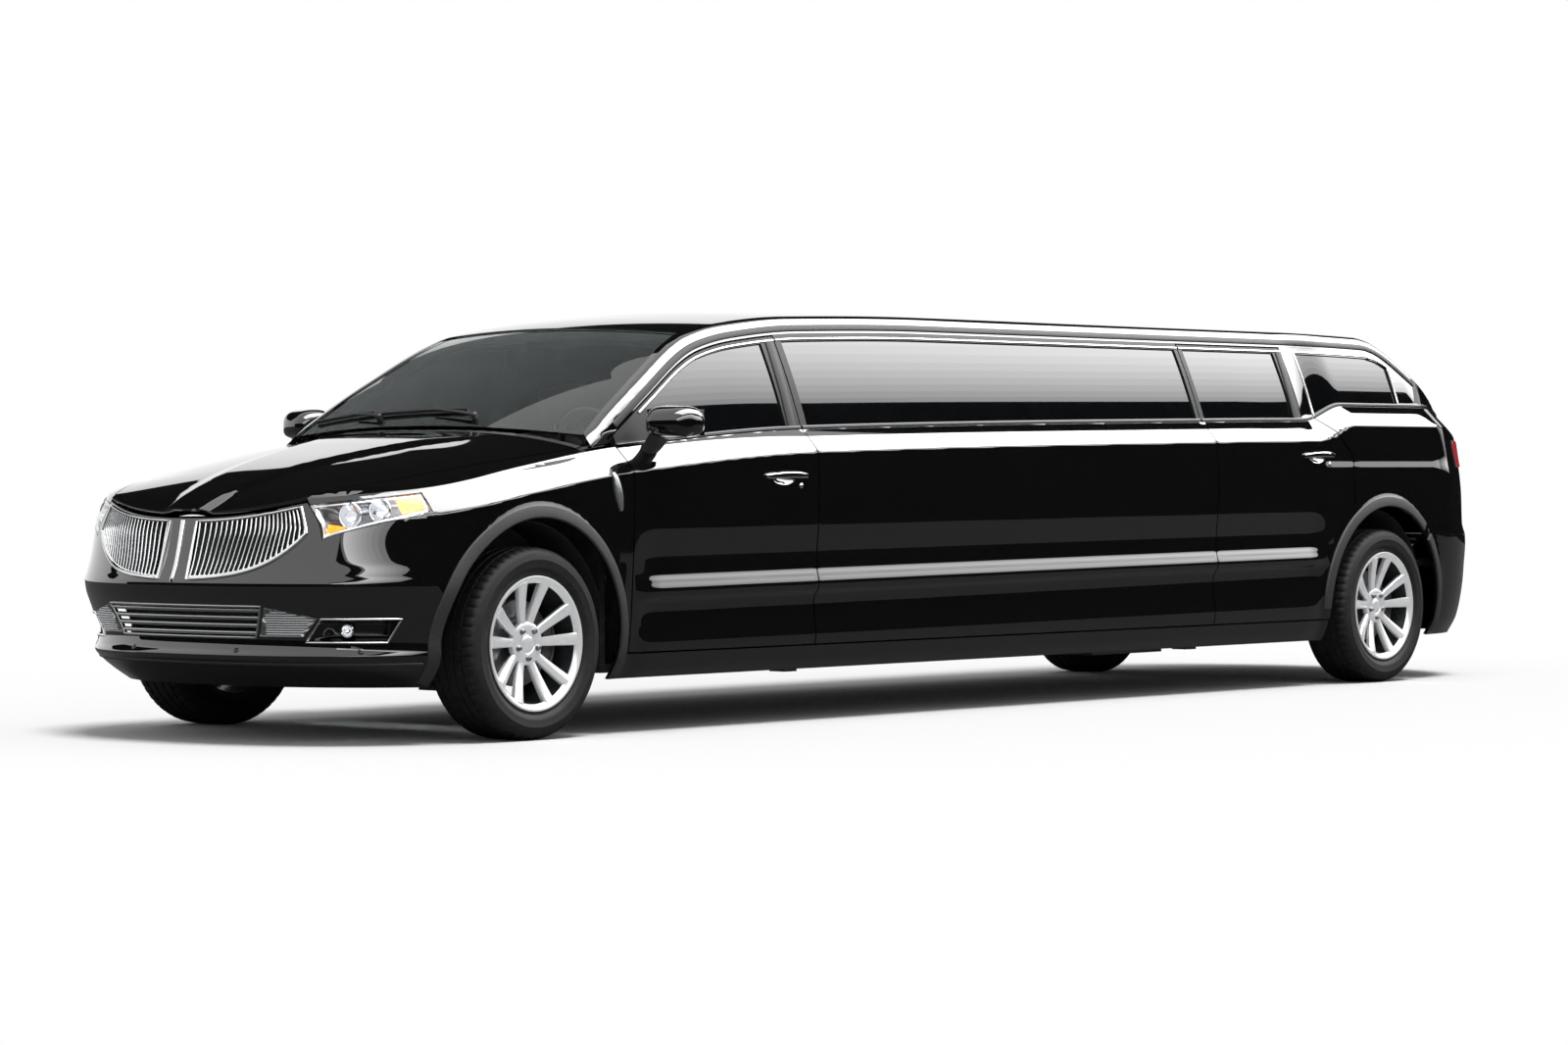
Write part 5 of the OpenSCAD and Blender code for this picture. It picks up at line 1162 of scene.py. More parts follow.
def slat(s):
    h = np.linspace(0.005, 0.995, 12)
    return bead(nose, wing(unit(s + 0.1 * (h - 0.5) * 4 * s * (1 - s)), h),
                rounded(SLAT_W, SLAT_D, 4, 0.42), -0.4 * SLAT_D)


slats = joined([slat((i + 0.5) / SLATS) for i in range(SLATS)])
piece("grille_slats", joined([slats, mirror_y(slats)]), CHROME, replaces=["grille"])
wing_edge = bead(nose, grille_ring, rounded(0.012, 0.014), 0.0, closed=True)
pair("grille_surround", wing_edge, CHROME)
pair("grille_foot", bead(nose, wing(np.linspace(0.02, 0.98, 40), 0.02), rounded(0.02, 0.02), -0.003),
     CHROME)


def behind(t):
    def surface(c, z):
        return nose(c, z, t)
    return surface


panel("grille_back", [grille_ring], (0.03, 0.02), behind(0.034), 0.004, SATIN, sides=2)
keel_z = np.linspace(grille_lo(0.0) - 0.012, float(brow_z(0.0)) - 0.008, 24)
keel = bead(nose, stack(0 * keel_z, keel_z), rounded(0.016, 0.012), 0.0, taper=np.linspace(1.0, 1.6, 24))
piece("grille_keel", keel, CHROME)


# Bumper: bars in the middle, brushed inserts, lamp pockets
bars = []
for share in (0.14, 0.38, 0.62, 0.86):
    z, reach = front_z(mix(*LOWER_Z, share)), mix(*LOWER_C, share) - 0.003
    bars.append(bead(nose, run(z, -reach, reach), rounded(0.016, 0.022), -0.008))
piece("lower_bars", joined(bars), SILVER, replaces=["lower_grille"])
piece("lower_surround", bead(nose, lower_ring, rounded(0.01, 0.012), 0.0, closed=True), SILVER)
panel("lower_back", [lower_ring], (0.03, 0.02), behind(0.04), 0.004, SATIN)
insert_ring = ring(run(front_z(0.3), 0.292, 0.465),
                   np.linspace((0.465, front_z(0.3)), (0.52, front_z(0.4)), 6),
                   run(lambda c: front_z(0.46 - 0.06 * unit((c - 0.32) / 0.2)), 0.52, 0.318),
                   np.linspace((0.318, front_z(0.46)), (0.292, front_z(0.3)), 6))


def insert_face(c, z):
    """A raised insert with fine level lines."""
    return nose(c, z, -0.004 + 0.0012 * np.cos(z * 700))


panel("bumper_insert", [insert_ring], (0.02, 0.0012), insert_face, 0.006, SILVER, sides=2)


def fog_pocket(c, z):
    h = unit((z - fog_low) / (fog_top - fog_low))
    s = unit((c - FOG_C[0]) / (FOG_C[1] - FOG_C[0]))
    depth = 0.04 * smooth(0, 0.25, h) * (1 - smooth(0.8, 1, h))
    return nose(c, z, 0.009 + depth * smooth(0.05, 0.3, s) * (1 - smooth(0.85, 1, s)))


panel("fog_pocket", [fog_ring], (0.015, 0.008), fog_pocket, 0.003, GLOSS, replaces=["fog_lamps"], sides=2)
pair("fog_surround", bead(nose, fog_ring, rounded(0.009, 0.01), 0.0, closed=True), CHROME)
fog_at = nose(0.635, mix(fog_low, fog_top, 0.5), 0.03)
FOG_AXIS, FOG_R = (0.93, 0.36, 0), 0.021
fog_parts = reflector(fog_at, FOG_AXIS, FOG_R, 0.018, (0.007, 0.012, 0.003), 7)
pair("fog_reflector", joined(fog_parts), CHROME)
pair("fog_lens", spun(dome(FOG_R, 0.007, -0.001, -0.002, 6), fog_at, FOG_AXIS), LENS)
sensor = stud(0.012, -0.006, 0.001, 0.0095, 0.0026, 0.003)
sensor_at = np.array([[0.2, front_z(0.215)], [0.7, front_z(0.215)]])
sensor_axes = normals_of(nose, sensor_at)
pair("parking_sensors", joined([spun(sensor, p, n, 24) for p, n in zip(nose(*sensor_at.T), sensor_axes)]),
     GLOSS)
lip_c = np.linspace(-0.97, 0.97, 120)
lip = bead(nose, stack(lip_c, front_z(0.14)), rounded(0.012, 0.008), 0.0)
piece("bumper_lip", lip, SATIN)


# Strips round the windows, chrome darkened with painted shade along the belt and bright above, each on its
# own door or wall
LAP = 0.003
TRIM = rounded(0.018, 0.011)
SLIM = rounded(0.011, 0.009)
belt_ends = {"front_door": (door1_ends, "door_f{}"), "lounge": (panel_ends, "body"),
             "rear_door": ((door2_ends[0], slant(z_slant) + 0.004), "door_r{}"),
             "quarter": ((slant(z_quarter, SHUT) - 0.004, pillar_end + 0.03), "body")}
for key, ((x0, x1), body) in belt_ends.items():
    line = run(lambda x: belt(x) + LAP, x0 - LAP, x1 + LAP)
    pair(f"belt_trim_{key}", bead(side, line, TRIM, 0.001, True), SHADED_CHROME, body)
head_ends = {"front_door": ((door1_glass[0] + 0.05, door1_ends[1] + LAP), "door_f{}"),
             "lounge": ((panel_ends[0] - LAP, panel_ends[1] + LAP), "body"),
             "rear_door": ((door2_ends[0] - LAP, door2_w + LAP), "door_r{}")}
for key, (ends, body) in head_ends.items():
    line = run(lambda x: pane_hi(x) + 0.008, *ends)
    pair(f"head_trim_{key}", bead(side, line, SLIM, 0.0, True), CHROME, body)
pair("quarter_trim", bead(side, window(*quarter_glass, 0.008), SLIM, 0.0, True, closed=True), CHROME)
rail_x = np.linspace(door1_f - 0.02, roof_x1 + 0.35, 160)
rail_run = stack(rail_x, foot_t(rail_x, top_z(rail_x) + 0.022))
pair("roof_rail_strip", bead(roof, rail_run, rounded(0.030, 0.012), -0.001), FRAME)


def post(x, lean=0.02):
    """A raised upright strip on the frame between two windows."""
    z = np.linspace(float(pane_lo(x)) - 0.006, float(pane_hi(x)) + 0.006, 14)
    return bead(side, stack(x - lean * (z - z[0]) / (z[-1] - z[0]) + lean / 2, z), rounded(0.05, 0.008),
                0.0, True)


pair("post_cover_front", post(mix(door1_glass[1], door1_ends[1], 0.5)), FRAME, "door_f{}")
pair("post_cover_rear", post(mix(door2_glass[1], door2_w, 0.5), 0.03), FRAME, "door_r{}")


# Door handles over their cups, with a lock below
def cup_face(x0, z0):
    def surface(x, z):
        r = np.hypot((x - x0 - 0.01) / (HANDLE_L * 0.3), (z - z0) / CUP_H)
        return side(x, z) - stack(0 * x, 0.02 * unit(1 - r**2), 0 * x)
    return surface


for key, (x0, z0) in HANDLES.items():
    body = f"door_{key}{{}}"
    title = ENDS[key]
    panel(f"handle_cup_{title}", [door_cups[key]], (0.012, 0.008), cup_face(x0, z0), 0.003, PAINT, body,
          sides=2, turn=True)
    share = np.linspace(0, 1, 25)
    arc = np.sin(share * math.pi)
    grip = stack(x0 + HANDLE_L * (0.5 - share), z0 + 0.004 + 0.006 * arc)
    normal = -normals_of(side, grip)
    path = side(*grip.T) + normal * (0.006 + 0.03 * arc[:, None] ** 0.6)
    bow_grip = sweep(path, rounded(0.026, 0.012, 5, 0.48), normal, taper=mix(0.55, 1, arc**0.5))
    pair(f"handle_{title}", bow_grip, CHROME, body)
    lock_at = np.array([[x0 - HANDLE_L * 0.36, z0 - 0.034]])
    lock = stud(0.011, -0.004, 0.002, 0.008, 0.004, 0.004)
    pair(f"lock_{title}", spun(lock, side(*lock_at.T)[0], -normals_of(side, lock_at)[0], 24), CHROME, body)

ornament_run = np.linspace((2.722, 1.018), (2.682, 0.872), 24)
ornament_taper = 0.35 + 0.65 * np.sin(np.linspace(0.12, math.pi - 0.12, 24))
ornament = bead(side, ornament_run, rounded(0.04, 0.018, 4), 0.002, True, taper=ornament_taper)
pair("fender_ornament", ornament, SILVER)


# Raised lips round the wheel arches
LIP_W = 0.05


def arch_lip(axle, a0, a1):
    return bead(side, arch(axle, a0, a1, ARCH_R + LIP_W * 0.52), rounded(LIP_W, 0.014, 4, 0.4), 0.0, True)


pair("arch_lip_front", arch_lip(fax, a_sill + 3, 177 - a_sill), SATIN)
door_end = math.degrees(math.acos((door2_r + 0.004 - rax) / (ARCH_R + LIP_W)))
quarter_end = math.degrees(math.acos((quarter_r - 0.004 - rax) / ARCH_R))
pair("arch_lip_door", arch_lip(rax, a_low + 6, door_end), SATIN, "door_r{}")
pair("arch_lip_quarter", arch_lip(rax, quarter_end, 176 - side_low), SATIN)
pair("arch_lip_bumper", arch_lip(rax, 184 - side_low, 177 - a_sill), SATIN)


# Mirrors on arms at the belt
mirror_l, mirror_h = DOOR1_L * 0.19, DOOR1_L * 0.135
mirror_lo, mirror_hi = node_box("mirror_fl")
mirror_mid = (mirror_lo + mirror_hi) / 2
pod_half = mirror_h * 0.46
pod_z, glass_half = mirror_hi[2] - 0.002 - pod_half, mirror_h * 0.34


def pod(n, m):
    """Rings of the mirror's housing: a rounded front that closes to a flat rear face."""
    rings = []
    y0, y1 = mirror_hi[1] - mirror_l * 0.96, mirror_hi[1] - 0.001
    front, rear = 0.115, 0.078
    cx, cz = np.cos(turns(m)), np.sin(turns(m))
    round_x = np.sign(cx) * np.abs(cx) ** 0.8
    round_z = np.where(cz > 0, np.abs(cz) ** 0.8, -0.86 * np.abs(cz) ** 0.5)
    for s in np.linspace(0, 1, n):
        size = max(1 - abs(2 * s - 1) ** 5, 0) ** 0.5
        depth = np.where(cx > 0, front * mix(1, 0.55, s**2), rear)
        height = pod_half * mix(1, 0.9, s)
        rings.append(stack(mirror_mid[0] - 0.01 + round_x * depth * size, mix(y0, y1, s),
                           pod_z + round_z * height * size))
    return np.concatenate(rings)


pod_n, pod_m = 28, 32
pod_points = pod(pod_n, pod_m)
pair("mirror_pod", (pod_points, quads(pod_n, pod_m)), PAINT, "door_f{}", ["mirror_f{}"], 50)
pod_grid = pod_points.reshape(pod_n, pod_m, 3)
pod_low = pod_grid[2:-2, pod_m * 3 // 4 + 1]
pair("mirror_strip", sweep(pod_low + (0, 0, 0.006), rounded(0.01, 0.02), (0, 0, 1)), CHROME, "door_f{}")
glass_y = np.linspace(pod_grid[4, 0, 1], pod_grid[-5, 0, 1], 20)
pod_rear = float(pod_grid[pod_n // 2, pod_m // 2, 0])
mirror_face = ring(*[stack(np.linspace(a, b, 16), c) for a, b, c in (
    (glass_y[0], glass_y[-1], pod_z - glass_half), (glass_y[-1], glass_y[0], pod_z + glass_half))])


def mirror_plane(y, z):
    """A faintly domed mirror."""
    bulge = 0.004 * (1 - ((y - glass_y.mean()) / 0.1) ** 2 - ((z - pod_z) / 0.08) ** 2)
    return stack(pod_rear + 0.001 - bulge, y, z)


panel("mirror_glass", [mirror_face], (0.012, 0.012), mirror_plane, 0.004, CHROME, "door_f{}", sides=2,
      turn=True)
arm_y = np.linspace(mirror_lo[1] + 0.004, mirror_hi[1] - mirror_l * 0.72, 14)
arm_rise = smooth(0, 1, np.linspace(0, 1, 14))
arm = stack(mirror_mid[0], arm_y, mix(mirror_lo[2] - 0.02, pod_z - mirror_h * 0.2, arm_rise))
pair("mirror_arm", sweep(arm, rounded(0.06, 0.1, 4, 0.4), (1, 0, 0), taper=np.linspace(0.72, 1.0, 14)),
     SATIN, "door_f{}")


# Cowl, wipers and the flap ahead of the rear wheel
cowl_w = node_box("cowl")[1, 1]


def cowl_face(s, v):
    """The grid below the windscreen, with cross ribs."""
    y = v * (cowl_w - 0.004)
    x = cabin_x(cowl_x, y) + mix(-0.036, 0.010, s)
    return stack(x, y, np.minimum(cabin_z(x, y), hood_z(x, y)) - 0.0125 - 0.002 * (np.sin(v * 260) > 0.4))


panel("cowl_grid", [square(0.02, 0.98, -1, 1, 60)], (0.2, 0.006), cowl_face, 0.006, SATIN,
      replaces=["cowl"], turn=True)


def wiper(v0, v1, s1):
    """Arm and blade of one wiper lying on the glass."""
    share = np.linspace(0, 1, 16)
    arm = stack(mix(0.07, s1, share), mix(v0, (v0 + v1) / 2 + 0.05, share))
    blade = stack(mix(s1 + 0.012, s1 - 0.012, share), mix(v0 - 0.08, v1, share))
    pivot = spun(stud(0.014, -0.012, 0.008, 0.009, 0.014, 0.014), screen(0.066, v0) + (0, 0, 0.012),
                 (0.4, 0, 0.9), 20)
    return [bead(screen, arm, rounded(0.018, 0.007), 0.02, True, taper=mix(1, 0.55, share)),
            bead(screen, blade, rounded(0.01, 0.016, 3, 0.4), 0.0085, True), pivot]


piece("wipers", joined(wiper(0.3, -0.42, 0.11) + wiper(-0.38, -0.94, 0.105)), SATIN)
flap_x = rax + ARCH_R + 0.02
pair("rear_flap", beam((flap_x, 0.7, 0.24), (flap_x, 0.86, 0.24), 0.006, 0.05, 3, 0.3), SATIN)


# Liners over the wheels and the sill of the boot
def liner(axle, a0, a1, y0, y1):
    """A ribbed half barrel over a wheel, closed on its inner side."""
    a = np.radians(np.linspace(a0, a1, 48))
    r = ARCH_R - 0.012 - 0.004 * (np.arange(48) % 6 == 0)
    path = stack(axle + r * np.cos(a), (y0 + y1) / 2, TYRE_R + r * np.sin(a))
    outward = stack(np.cos(a), 0 * a, np.sin(a))
    barrel = sweep(path, rounded(y1 - y0, 0.004, 2), outward)
    rim = stack(np.cos(a), np.sin(a)) * (ARCH_R - 0.014)
    inner = np.concatenate([stack(axle + rim[:, 0], y, TYRE_R + rim[:, 1]) for y in (y0, y0 + 0.004)])
    sides = [(i, (i + 1) % 48, (i + 1) % 48 + 48, i + 48) for i in range(48)]
    return joined([barrel, (inner, [tuple(range(47, -1, -1)), tuple(range(48, 96))] + sides)])


pair("wheelhouse_rear", liner(rax, 12, 168, 0.6, 0.868), SATIN)
front_arc, front_r = np.radians(np.linspace(14, 166, 44)), ARCH_R - 0.01
front_path = stack(fax + front_r * np.cos(front_arc), 0.76, TYRE_R + front_r * np.sin(front_arc))
front_out = stack(np.cos(front_arc), 0, np.sin(front_arc))
pair("wheelhouse_front", sweep(front_path, rounded(0.22, 0.004, 2), front_out), SATIN)
sill_c = np.linspace(-0.78, 0.78, 50)
boot_z = bumper2_z - SHUT
boot_edge = rear(sill_c, boot_z, 0.018)[:, :2]
boot_ring = ring(boot_edge, [(boot_edge[-1, 0] + 0.16, boot_edge[-1, 1]),
                             (boot_edge[0, 0] + 0.16, boot_edge[0, 1])])


def boot_face(x, y):
    """Ribbed strip inside the tailgate's opening."""
    return stack(x, y, boot_z - 0.002 - 0.0015 * np.cos(x * 260))


panel("boot_sill", [boot_ring], (0.006, 0.08), boot_face, 0.008, SATIN)


# Tail lamps at the corners and the bar across the tailgate
gate_z0 = bumper2_z + SHUT
lamp2_z = (mix(gate_z0, LIP_Z, 0.58), mix(gate_z0, LIP_Z, 0.8))


def tail_lens(c, z):
    """A red lens with level flutes, just proud of the corner."""
    return tail(c, z, -0.006 - 0.0008 * np.cos(z * 500))


lamp2_ring = ring(run(lamp2_z[0], 0.02, 0.6, 0.02), np.linspace((0.6, lamp2_z[0]), (0.68, lamp2_z[1]), 8),
                  run(lamp2_z[1], 0.68, 0.02, 0.02), rise(0.02, lamp2_z[1], lamp2_z[0]))
panel("tail_lamp_lens", [lamp2_ring], (0.03, 0.003), tail_lens, 0.005, RED, replaces=["tail_lamps"],
      sides=2, turn=True)
pair("tail_lamp_rim", bead(tail, lamp2_ring, rounded(0.008, 0.008), 0.001, True, closed=True), CHROME)
bar_s = tuple((LIP_Z - z) / (LIP_Z - gate_z0) for z in reversed(lamp2_z))


def bar_face(s, v):
    return gate_lower(s, v, -0.005 - 0.001 * np.cos(s * 300))


panel("light_bar_lens", [square(*bar_s, -0.985, 0.985, 60)], (0.006, 0.02), bar_face, 0.005, RED,
      "tailgate", ["light_bar"], turn=True)
bar_line = stack(bar_s[0] - 0.03, np.linspace(-0.97, 0.97, 60))
piece("light_bar_trim", bead(gate_lower, bar_line, rounded(0.014, 0.012), 0.0, True), CHROME, "tailgate")


# Wheels: grooved tyres, spokes in pairs, bolts, cap, disc and caliper
RIM_SEAT, FLANGE_Y = TYRE_R * 0.669, TYRE_W * 0.437
HUB_Y = TYRE_W * 0.28


def tyre(n=300):
    """Sidewalls with ribs, a tread with four grooves and notched shoulders."""
    wall = [(0.669, 0.437), (0.7, 0.446), (0.735, 0.447), (0.742, 0.46), (0.765, 0.472), (0.772, 0.484),
            (0.8, 0.492), (0.86, 0.5), (0.868, 0.504), (0.876, 0.499), (0.905, 0.492), (0.935, 0.478),
            (0.962, 0.455), (0.98, 0.425), (0.992, 0.385)]
    tread = [(0.998, 0.33), (0.999, 0.272), (0.978, 0.266), (0.978, 0.242), (1.0, 0.236), (1.0, 0.112),
             (0.978, 0.106), (0.978, 0.08), (1.0, 0.074)]
    lining = [(0.968, 0.0), (0.955, 0.36), (0.9, 0.45), (0.82, 0.46), (0.74, 0.405), (0.676, 0.405)]
    half, inner = np.array(wall + tread), np.array(lining)
    profile = np.concatenate([half, half[::-1] * (1, -1), inner[:0:-1] * (1, -1), inner]) * (TYRE_R, TYRE_W)
    points, faces = lathe(profile, n)
    points = points.reshape(n, -1, 3)
    share = np.abs(profile[:, 1]) / TYRE_W
    notched = (profile[:, 0] > TYRE_R * 0.97) & (share > 0.27)
    ribbed = (profile[:, 0] > TYRE_R * 0.99) & (share > 0.1) & (share < 0.25)
    points[::5, notched] *= (0.984, 1, 0.984)
    points[2::5, ribbed] *= (0.993, 1, 0.993)
    return points.reshape(-1, 3), faces


def rim_barrel():
    r, y = RIM_SEAT, FLANGE_Y
    return lathe([(r, y - 0.004), (r - 0.004, 0.06), (r - 0.014, 0.03), (r - 0.014, -0.06), (r - 0.002, -y),
                  (r + 0.013, -y - 0.004), (r + 0.011, -y - 0.008), (r - 0.008, -y - 0.004),
                  (r - 0.012, -0.09), (r - 0.024, -0.05), (r - 0.024, 0.03), (r - 0.014, 0.07),
                  (r - 0.012, y - 0.006)], 96)


def spoke(angle):
    """A broad blade from the hub to the rim, with a ridge along it."""
    s = np.linspace(0, 1, 9)
    r = mix(0.05, RIM_SEAT - 0.006, s)
    path = stack(r * math.sin(angle), mix(HUB_Y - 0.012, FLANGE_Y - 0.009, s**1.6), r * math.cos(angle))
    blade = [(-0.019, -0.014), (0.019, -0.014), (0.0205, 0.002), (0.0165, 0.007), (0.004, 0.0095),
             (-0.004, 0.0095), (-0.0165, 0.007), (-0.0205, 0.002)]
    return sweep(path, blade, (0, 1, 0), taper=mix(0.72, 1.22, s))


def rim_face():
    r, y = RIM_SEAT, FLANGE_Y
    lip = lathe([(r + 0.013, y + 0.002), (r + 0.012, y + 0.007), (r + 0.008, y + 0.0084),
                 (r + 0.003, y + 0.007), (r - 0.004, y + 0.001), (r - 0.013, y - 0.006),
                 (r - 0.016, y - 0.012), (r - 0.004, y - 0.012), (r + 0.001, y)], 96)
    hub = lathe([(0.0, HUB_Y - 0.035), (0.076, HUB_Y - 0.035), (0.086, HUB_Y - 0.02),
                 (0.083, HUB_Y - 0.004), (0.074, HUB_Y), (0.042, HUB_Y), (0.038, HUB_Y - 0.003),
                 (0.0, HUB_Y - 0.003)], 60)
    half_turn = math.pi / LUGS
    spokes = [spoke(2 * half_turn * k + way * half_turn * 0.42) for k in range(LUGS) for way in (-1, 1)]
    return joined([lip, hub] + spokes)


def lug(k):
    angle = 2 * math.pi * (k + 0.5) / LUGS
    centre = np.array((LUG_PCR * math.sin(angle), HUB_Y, LUG_PCR * math.cos(angle)))
    seat = stud(0.0125, -0.002, 0.002, 0.011, 0.003, 0.003)
    nut = stud(0.0095, 0.0, 0.011, 0.007, 0.015, 0.016)
    return [spun(seat, centre, (0, 1, 0), 20), spun(nut, centre, (0, 1, 0), 6)]


def cap():
    return lathe(dome(0.034, 0.008, HUB_Y - 0.002, HUB_Y - 0.006, 7), 40)


def brake_disc():
    """Two plates with a gap between them, and the hat."""
    plate = np.array([(0.098, 0.0), (0.166, 0.0), (0.166, 0.009), (0.098, 0.009)])
    plates = [lathe(plate + (0, y), 72) for y in (-0.004, 0.012)]
    hat = lathe([(0.05, 0.021), (0.104, 0.021), (0.104, -0.004), (0.098, -0.004), (0.098, 0.014),
                 (0.05, 0.014)], 72)
    web = []
    for a in np.arange(36) * math.pi / 18:
        ends = [(r * math.sin(a), 0.0085, r * math.cos(a)) for r in (0.1, 0.164)]
        web.append(beam(*ends, 0.004, 0.009, out=(0, 1, 0)))
    return joined(plates + [hat] + web)


def caliper():
    a = np.radians(np.linspace(-118, -66, 14))
    path = stack(0.146 * np.sin(a), 0.009, 0.146 * np.cos(a))
    outward = stack(np.sin(a), 0 * a, np.cos(a))
    legs = [sweep(path + (0, y, 0), rounded(0.018, 0.05, 4, 0.35), outward) for y in (-0.026, 0.024)]
    return joined(legs + [sweep(path + outward * 0.034, rounded(0.068, 0.014, 4, 0.4), outward)])


WHEEL_PARTS = {
    "tyre": (tyre(), RUBBER), "rim_barrel": (rim_barrel(), POCKET), "rim_face": (rim_face(), ALLOY),
    "wheel_bolts": (joined([p for k in range(LUGS) for p in lug(k)]), STEEL), "wheel_cap": (cap(), ALLOY),
    "brake_disc": (brake_disc(), STEEL), "brake_caliper": (caliper(), IRON)}
WHEEL_NODES = {"tyre": ["tyre_{}{{}}"], "rim_barrel": ["rim_{}{{}}"]}
for end, axle, holder in (("f", fax, "steer_{}"), ("r", rax, "body")):
    for name, ((points, faces), finish) in WHEEL_PARTS.items():
        body = holder if name == "brake_caliper" else f"wheel_{end}{{}}"
        replaced = [node.format(end) for node in WHEEL_NODES.get(name, ())]
        placed = (points + (axle, TRACK / 2, TYRE_R), faces)
        pair(f"{name}_{ENDS[end]}", placed, finish, body, replaced, 50 if name == "tyre" else 35)


# Cabin: seats with crowned cushions, dashboard, steering wheel, partition and bar
def cushion(size, crown=0.02, seams=(), across=1, n=34, m=56, square_off=0.34):
    """A stuffed cushion round the origin: rounded, crowned, drawn in along its seams, with piping."""
    half = np.array(size) / 2
    u, v = np.meshgrid(np.linspace(-math.pi / 2, math.pi / 2, n), turns(m), indexing="ij")

    def power(value):
        return np.sign(value) * np.abs(value) ** square_off
    wide = power(np.cos(u))
    p = stack(wide * power(np.cos(v)), power(np.sin(u)), wide * power(np.sin(v))) * half
    q = unit(1 - (p[..., 0] / half[0]) ** 2) * unit(1 - (p[..., 1] / half[1]) ** 2)
    up = unit(p[..., 2] / half[2])
    lift = crown * q
    for seam in seams:
        lift = lift - 0.012 * np.exp(-(((p[..., across] - seam * half[across]) / 0.011) ** 2))
    p[..., 2] += up * lift
    a = turns(72)
    edge = stack(power(np.cos(a)) * half[0] * 0.985, power(np.sin(a)) * half[1] * 0.985, half[2] * 0.62)
    piping = sweep(edge, rounded(0.011, 0.011, 3, 0.48), (0, 0, 1), closed=True)
    return joined([(p.reshape(-1, 3), quads(n, m)), piping])


def stood(part, turn=0.0, place=(0, 0, 0), axis="Y"):
    """A part turned about an axis, in degrees, and put in its place."""
    return np.asarray(part[0]) @ np.array(Matrix.Rotation(math.radians(turn), 3, axis)).T + place, part[1]


def padded(name, part, sides=1, replaces=()):
    for obj in piece(name, part, LEATHER, "body", sides, replaces, 60):
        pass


def level(x0, x1, y, z, w, h, share=0.2, n=3):
    """A level bar with rounded edges along the car."""
    return beam((x0, y, z), (x1, y, z), w, h, n, share)


floor_z = 0.268
seat_x, seat_w, seat_d = mix(door1_f, door1_r, 0.84), BODY_W * 0.27, DOOR1_L * 0.45
seat_z, back_z, seat_y = mix(floor_z, BELT_FRONT_Z, 0.36), mix(floor_z, ROOF_Z, 0.66), BODY_W * 0.19
back_l, base_z = back_z - seat_z, floor_z + 0.075
CUSHION_T, BASE_H = 0.17, 0.148
chair = cushion((seat_d, seat_w, CUSHION_T), 0.012, (-0.55, 0.55))
chair_at = (seat_x + seat_d / 2, seat_y, seat_z - 0.08)
padded("front_seat_cushion", stood(chair, -4, chair_at), sides=2, replaces=["front_seats"])
chair_back = cushion((back_l, seat_w * 0.96, 0.15), 0.018, (-0.55, 0.55))
padded("front_seat_back", stood(chair_back, -82, (seat_x - 0.06, seat_y, seat_z + back_l * 0.46)), sides=2)
headrest = cushion((CUSHION_T, 0.27, 0.1), 0.012)
padded("front_headrest", stood(headrest, -84, (seat_x - 0.105, seat_y, back_z + 0.09)), 2)
stems = [beam((seat_x - 0.1, y, back_z - 0.06), (seat_x - 0.104, y, back_z + 0.06), 0.012, 0.012,
              out=(1, 0, 0)) for y in (seat_y - 0.07, seat_y + 0.07)]
pair("front_headrest_stems", joined(stems), STEEL)
seat_base = level(seat_x + 0.03, seat_x + seat_d - 0.04, seat_y, base_z, seat_w * 0.8, BASE_H, n=4)
pair("front_seat_base", seat_base, SATIN)

lounge_lo, lounge_hi = node_box("lounge_seat")
bench_w, wall_y = BODY_W * 0.26, -lounge_hi[1]
bench_y = wall_y + bench_w / 2
rear_x, rear_w = lounge_lo[0] + 0.14, lounge_hi[1] * 1.99
rear_seams, side_seams = np.linspace(-0.75, 0.75, 7), np.linspace(-0.9, 0.9, 13)
side_x = (rear_x + seat_d, lounge_hi[0])
side_l, side_mid = side_x[1] - side_x[0], (side_x[0] + side_x[1]) / 2
LOUNGE = {
    "rear_cushion": (cushion((seat_d, rear_w, CUSHION_T), 0.016, rear_seams, 1, 34, 110, 0.22), -3,
                     (rear_x + seat_d / 2, 0, seat_z - 0.08), "Y"),
    "rear_back": (cushion((back_l, rear_w, 0.14), 0.018, rear_seams, 1, 80, 56, 0.25), -82,
                  (rear_x - 0.06, 0, seat_z + back_l * 0.46), "Y"),
    "side_cushion": (cushion((side_l, bench_w, CUSHION_T), 0.016, side_seams, 0, 30, 240, 0.16), 0,
                     (side_mid, bench_y, seat_z - 0.08), "Y"),
    "side_back": (cushion((side_l, back_l, 0.09), 0.014, side_seams, 0, 30, 240, 0.16), -84,
                  (side_mid, wall_y + 0.05, seat_z + back_l * 0.48), "X")}
for key, (part, turn, place, axis) in LOUNGE.items():
    replaced = ["lounge_seat"] if key == "rear_cushion" else ()
    padded(f"lounge_{key}", stood(part, turn, place, axis), replaces=replaced)
plinths = [level(rear_x + 0.02, rear_x + seat_d - 0.05, 0, base_z, lounge_hi[1] * 1.96, BASE_H, 0.1),
           level(side_x[0] + 0.02, side_x[1] - 0.02, bench_y, base_z, bench_w * 0.9, BASE_H, 0.1)]
piece("lounge_plinth", joined(plinths), WOOD)

